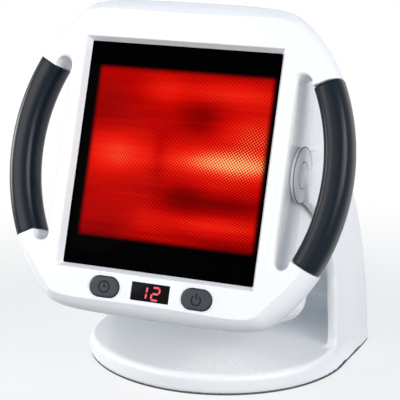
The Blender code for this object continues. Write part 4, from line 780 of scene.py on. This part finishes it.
def footOutline(grow=0.0):
    # Half an ellipse in front, sides that part a little, and round rear corners
    s = stand
    angle = np.linspace(pi, 2 * pi, steps["footFront"])
    front = np.stack([s["footHalf"] * np.cos(angle), s["centreY"] + s["reach"] * np.sin(angle)], -1)
    y = np.linspace(s["centreY"], s["rearY"] - s["footCorner"], steps["footSide"])[1:]
    x = s["footHalf"] + (s["rearHalf"] - s["footHalf"]) * smoothStep(y, s["centreY"], s["spreadTo"])
    turn = np.linspace(0, pi / 2, steps["corner"])[1:]
    cornerX = x[-1] - s["footCorner"] + s["footCorner"] * np.cos(turn)
    cornerY = s["rearY"] - s["footCorner"] + s["footCorner"] * np.sin(turn)
    back = np.linspace(cornerX[-1], 0, steps["back"])[1:]
    y = np.concatenate([y, cornerY, np.full(len(back), s["rearY"])])
    side = np.stack([np.concatenate([x, cornerX, back]), y], -1)
    whole = np.concatenate([front, side, (side[:-1] * [-1, 1])[::-1]])
    return grown(whole[::-1], grow)


def makeArch():
    # Outside: rings whose height rises as a power of the sine, so that they crowd towards the top
    s, rings = stand, []
    for share in np.linspace(0, 1, s["archRings"]):
        z = s["archStart"] + (s["top"] - s["archStart"]) * sin(share * pi / 2) ** (2 / s["archPower"]) * s["archEnd"]
        rear = max(rearLine(z), s["thinRear"])
        grows = max(0.0, 1 - z / s["cornerFades"]) ** s["cornerPower"]
        corner = min(s["topCorner"] + (s["footCorner"] - s["topCorner"]) * grows, rear / 2)
        rings.append(archRing(outsideHalf, 0.0, rear, corner, z))
    return loft("standShell", rings)


def makeArmSpace():
    # Space between the arms, with a quarter-round fillet where the back wall meets the foot
    s, rings = stand, []
    heights = s["footTop"] + s["fillet"] * (1 - np.cos(np.linspace(0, pi / 2, 9)))
    heights = np.concatenate([heights, np.linspace(heights[-1], s["top"] + past, 26)[1:]])
    for z in heights:
        rise = max(0.0, s["fillet"] - (z - s["footTop"]))
        fill = s["fillet"] - (s["fillet"] ** 2 - rise ** 2) ** 0.5
        rear = (rearLine(z) if z < s["backOpens"] else s["rearY"]) - s["backWall"] - fill
        corner = s["insideCorner"] - s["cornerShrinks"] * min(1.0, max(0.0, z - s["backRim"]) / s["shrinksOver"])
        rings.append(archRing(insideHalf, -past, rear, corner, z))
    return loft("armSpace", rings)


def makeFrontSpace():
    # Side view of all that is cleared in front of the arms: a toe, a straight edge and a long curve to the pods
    s = stand
    toeY, toeZ = s["armFront"] - s["toe"], s["footTop"] + s["toe"]
    turn = np.linspace(0, pi / 2, 9)
    toe = np.stack([toeY + s["toe"] * np.sin(turn), toeZ - s["toe"] * np.cos(turn)], -1)
    sweep = bezier((s["armFront"], s["sweepLow"]), (s["armFront"], s["sweepTurn"]), s["sweepHigh"], s["podFront"], 24)
    top = [s["podFront"], [s["podFront"][0], s["clearTop"]], [s["clearFront"], s["clearTop"]]]
    side = np.concatenate([[[s["clearFront"], 0.0], [toeY, 0.0]], toe, sweep, top])
    return loft("frontSpace", [standPoints(x, side[:, 0], side[:, 1]) for x in (-s["clearHalf"], s["clearHalf"])])


def makeBackSpace():
    # Back view of the opening above the back wall, with an elliptical sweep up each side
    s = stand
    turn = np.linspace(0, pi / 2, 17)
    sweepX = s["backFlat"] + (s["innerHalf"] - s["backFlat"]) * np.sin(turn)
    sweepZ = s["backRim"] + s["backRise"] * (1 - np.cos(turn))
    x = np.concatenate([sweepX, [s["innerHalf"], -s["innerHalf"]], -sweepX[::-1]])
    z = np.concatenate([sweepZ, [s["clearTop"], s["clearTop"]], sweepZ[::-1]])
    return loft("backSpace", [standPoints(x, y, z) for y in (0.0, s["clearRear"])])


def makeFoot():
    # Quarter-round lip in front, a skirt that draws in as a power of the height beside the arms, a taper at the rear
    s, rings = stand, []
    outline = footOutline()
    lipShare = 1 - smoothStep(outline[:, 1], s["skirtFrom"], s["skirtTo"])
    spread = smoothStep(outline[:, 1], s["spreadFrom"], s["spreadTo"])
    skirtShare = (1 - lipShare) * (1 - spread)
    thick = s["footTop"] - s["low"]
    lipStart = thick - s["lip"]
    for z in np.concatenate([[0.0, s["edgeUp"]], np.linspace(s["sideUp"], lipStart, 7),
                             thick - s["lip"] * (1 - np.sin(np.linspace(0, pi / 2, 8)[1:]))]):
        rest = min(1.0, max(0.0, z - lipStart) / s["lip"])
        lip = s["lip"] * (1 - (1 - rest ** 2) ** 0.5)
        skirt = s["skirt"] * (1 - (1 - z / thick) ** s["skirtPower"])
        taper = s["rearTaper"] * z / thick * spread
        moved = grown(outline, -(s["edgeIn"] * (z == 0) + lip * lipShare + skirt * skirtShare + taper))
        rings.append(standPoints(moved[:, 0], moved[:, 1], s["low"] + z))
    wide, narrow = grown(outline, -s["hollowIn"]), grown(outline, -s["hollowIn"] - s["skirt"] * skirtShare)
    space = [standPoints(o[:, 0], o[:, 1], z) for o, z in
             ((wide, -past), (wide, s["hollowTop"]), (narrow, s["hollowEnd"]))]
    return cut(loft("foot", rings), loft("footSpace", space))


def makeStand():
    # One moulding: an even skin over arch and foot, with its edges rounded
    arch = cut(makeArch(), makeArmSpace(), makeFrontSpace(), makeBackSpace())
    shell = joined("standShell", arch, makeFoot())
    remesh = shell.modifiers.new("skin", "REMESH")
    remesh.mode, remesh.voxel_size = "VOXEL", stand["voxel"]
    soften = shell.modifiers.new("soften", "SMOOTH")
    soften.factor, soften.iterations = 0.5, stand["rounds"]
    cut(shell)
    dress(shell, "stand", "white_shell", ["stand_shell"], sharp=180)


def makePod(side, name):
    # Turned boss that carries the pivot: a thin disc outside the arm, and painted shadow lines, dark rings round its
    # cap and its rim
    p = pod
    outer = p["outer"]
    face = [(outer - inwards * mm, radius * mm) for inwards, radius in p["rows"]]
    profile = [(p["inner"], p["bore"]), *face, (p["inner"], p["rim"])]
    rows = [("", "white_shell", profile)]
    # The two dark rings are painted shadow: they stand for the shade in the gaps round the cap and the rim
    for label, (radius, drop) in (("CapSeam", p["capSeam"]), ("RimSeam", p["rimSeam"])):
        low, high, rim = outer - p["seamDeep"], outer + p["proud"] - drop, radius + p["seamWide"]
        rows.append((label, "seam_grey", [(low, radius), (high, radius), (high, rim), (low, rim)]))
    for label, finish, outline in rows:
        made = turnedBand(name + label, outline,
                          lambda along, a, b: np.stack([side * along, pivot["y"] + a, pivot["z"] + b], -1))
        dress(made, "stand", "white_shell", finish=finish, sharp=34)


def makeFootShadowBand():
    # Painted shadow under the foot's edge: a flat dark band that follows the outline, where the gap under the foot lies
    # in shade
    rings = []
    for inset, z in baseTrim:
        outline = footOutline(-inset * mm)
        rings.append(standPoints(outline[:, 0], outline[:, 1], z * mm))
    dress(closedBand("baseTrim", rings), "stand", "black_plastic", finish="seam_grey", sharp=34)


makeStand()
makeFootShadowBand()
makePod(-1, "leftPod")
makePod(1, "rightPod")
print("stand made")

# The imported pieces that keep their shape

def dressPackedNodes():
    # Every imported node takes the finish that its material's name holds
    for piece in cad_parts.values():
        for held in piece.material_slots:
            held.material = finishes[next(slot for slot in finishes if slot in held.material.name)]


dressPackedNodes()
print("packed pieces dressed")

# Camera, floor and light

view = {"at": (0.41246, -0.99707, 0.43324), "pitch": radians(90 - 15.72), "turn": radians(22.83), "lens": 129.87,
        "sensor": 36.0}
studio = {"sky": 0.55, "skyTop": 0.33, "skyTint": (0.58, 0.78, 1.0), "lampTint": (1.0, 0.955, 0.92),
          "floor": (0.28, 0.28, 0.28), "floorR": 3, "floorRough": 0.9, "floorGlow": 0.66, "whiteFrom": 0.20,
          "whiteTo": 0.50}
lamps = {
    "keyLamp": {"at": (-1.02, -1.15, 0.84), "aim": 0.12, "size": 1.0, "power": 8.4},
    "fillLamp": {"at": (-0.55, -1.35, 0.50), "aim": 0.12, "size": 1.2, "power": 3.2},
    "frontRightLamp": {"at": (1.15, -1.00, 0.72), "aim": 0.15, "size": 0.9, "power": 7.0},
    "leftLamp": {"at": (-1.50, -0.20, 0.32), "aim": 0.15, "size": 0.6, "power": 13.0},
    "rightLamp": {"at": (1.35, -0.50, 0.72), "aim": 0.12, "size": 0.8, "power": 11.0},
    "backLamp": {"at": (-0.30, 1.20, 1.30), "aim": 0.15, "size": 0.9, "power": 1.0},
}
white = (1, 1, 1, 1)


def makeCamera():
    camera = bpy.data.objects.new("camera", bpy.data.cameras.new("camera"))
    scene.collection.objects.link(camera)
    camera.data.sensor_width, camera.data.lens = view["sensor"], view["lens"]
    camera.location, camera.rotation_euler = view["at"], (view["pitch"], 0.0, view["turn"])
    scene.camera = camera


def seenByCamera(tree):
    # 1 for rays from the camera or off metal and glass, 0 for the light that falls on the object
    path = node(tree, "LightPath")
    both = maths(tree, "MAXIMUM", path.outputs["Is Camera Ray"], path.outputs["Is Glossy Ray"])
    return maths(tree, "MAXIMUM", both, path.outputs["Is Transmission Ray"])


def makeWorld():
    # White where the camera sees it; its light falls from one level at the horizon to another overhead
    scene.world = world = scene.world or bpy.data.worlds.new("studio")
    world.use_nodes = True
    tree = world.node_tree
    tree.nodes.clear()
    up = node(tree, "SeparateXYZ", {0: node(tree, "TexCoord").outputs["Generated"]}).outputs["Z"]
    levels = {"Value": up, "From Min": 0.0, "From Max": 1.0, "To Min": studio["sky"], "To Max": studio["skyTop"]}
    level = node(tree, "MapRange", levels).outputs[0]
    light = node(tree, "Background", {"Color": (*studio["skyTint"], 1), "Strength": level})
    plain = node(tree, "Background", {"Color": white, "Strength": 1.0})
    mix = node(tree, "MixShader", {0: seenByCamera(tree), 1: light.outputs[0], 2: plain.outputs[0]})
    node(tree, "OutputWorld", {0: mix.outputs[0]})


def makeFloor():
    # A floor that looks white to the camera apart from the shadow that the object casts on it
    ring = np.pad(circle(0, 0, studio["floorR"], count=96), ((0, 0), (0, 1)))
    floor = pieceFrom("studioFloor", ring, np.zeros((0, 4), int), [range(len(ring))])
    made, tree, shader = blankMaterial("studioFloor")
    feed(shader, {"Base Color": (*studio["floor"], 1), "Roughness": studio["floorRough"], "Specular IOR Level": 0.0})
    shown = maths(tree, "MULTIPLY", seenByCamera(tree), studio["floorGlow"])
    glow = node(tree, "Emission", {"Color": white, "Strength": shown})
    both = node(tree, "AddShader", {0: shader.outputs[0], 1: glow.outputs[0]})
    away = node(tree, "VectorMath", {0: objectPlace(tree)}, operation="LENGTH").outputs["Value"]
    limits = {"Value": away, "From Min": studio["whiteFrom"], "From Max": studio["whiteTo"]}
    far = node(tree, "MapRange", limits, interpolation_type="SMOOTHSTEP").outputs[0]
    plain = node(tree, "Emission", {"Color": white, "Strength": 1.0})
    share = maths(tree, "MULTIPLY", far, seenByCamera(tree))
    mix = node(tree, "MixShader", {0: share, 1: both.outputs[0], 2: plain.outputs[0]})
    feed(tree.nodes["Material Output"], {"Surface": mix.outputs[0]})
    floor.data.materials.append(made)


def makeLamps():
    # Round area lamps, each turned to a height over the middle of the floor
    for name, lamp in lamps.items():
        light = bpy.data.lights.new(name, "AREA")
        light.shape, light.size, light.energy = "DISK", lamp["size"], lamp["power"]
        light.color = studio["lampTint"]
        made = bpy.data.objects.new(name, light)
        scene.collection.objects.link(made)
        made.location = lamp["at"]
        away = Vector((0, 0, lamp["aim"])) - Vector(lamp["at"])
        made.rotation_euler = away.to_track_quat("-Z", "Y").to_euler()


makeCamera()
makeWorld()
makeFloor()
makeLamps()
scene.view_settings.view_transform = "Standard"
print("camera, floor and light made")

bpy.context.view_layer.update()
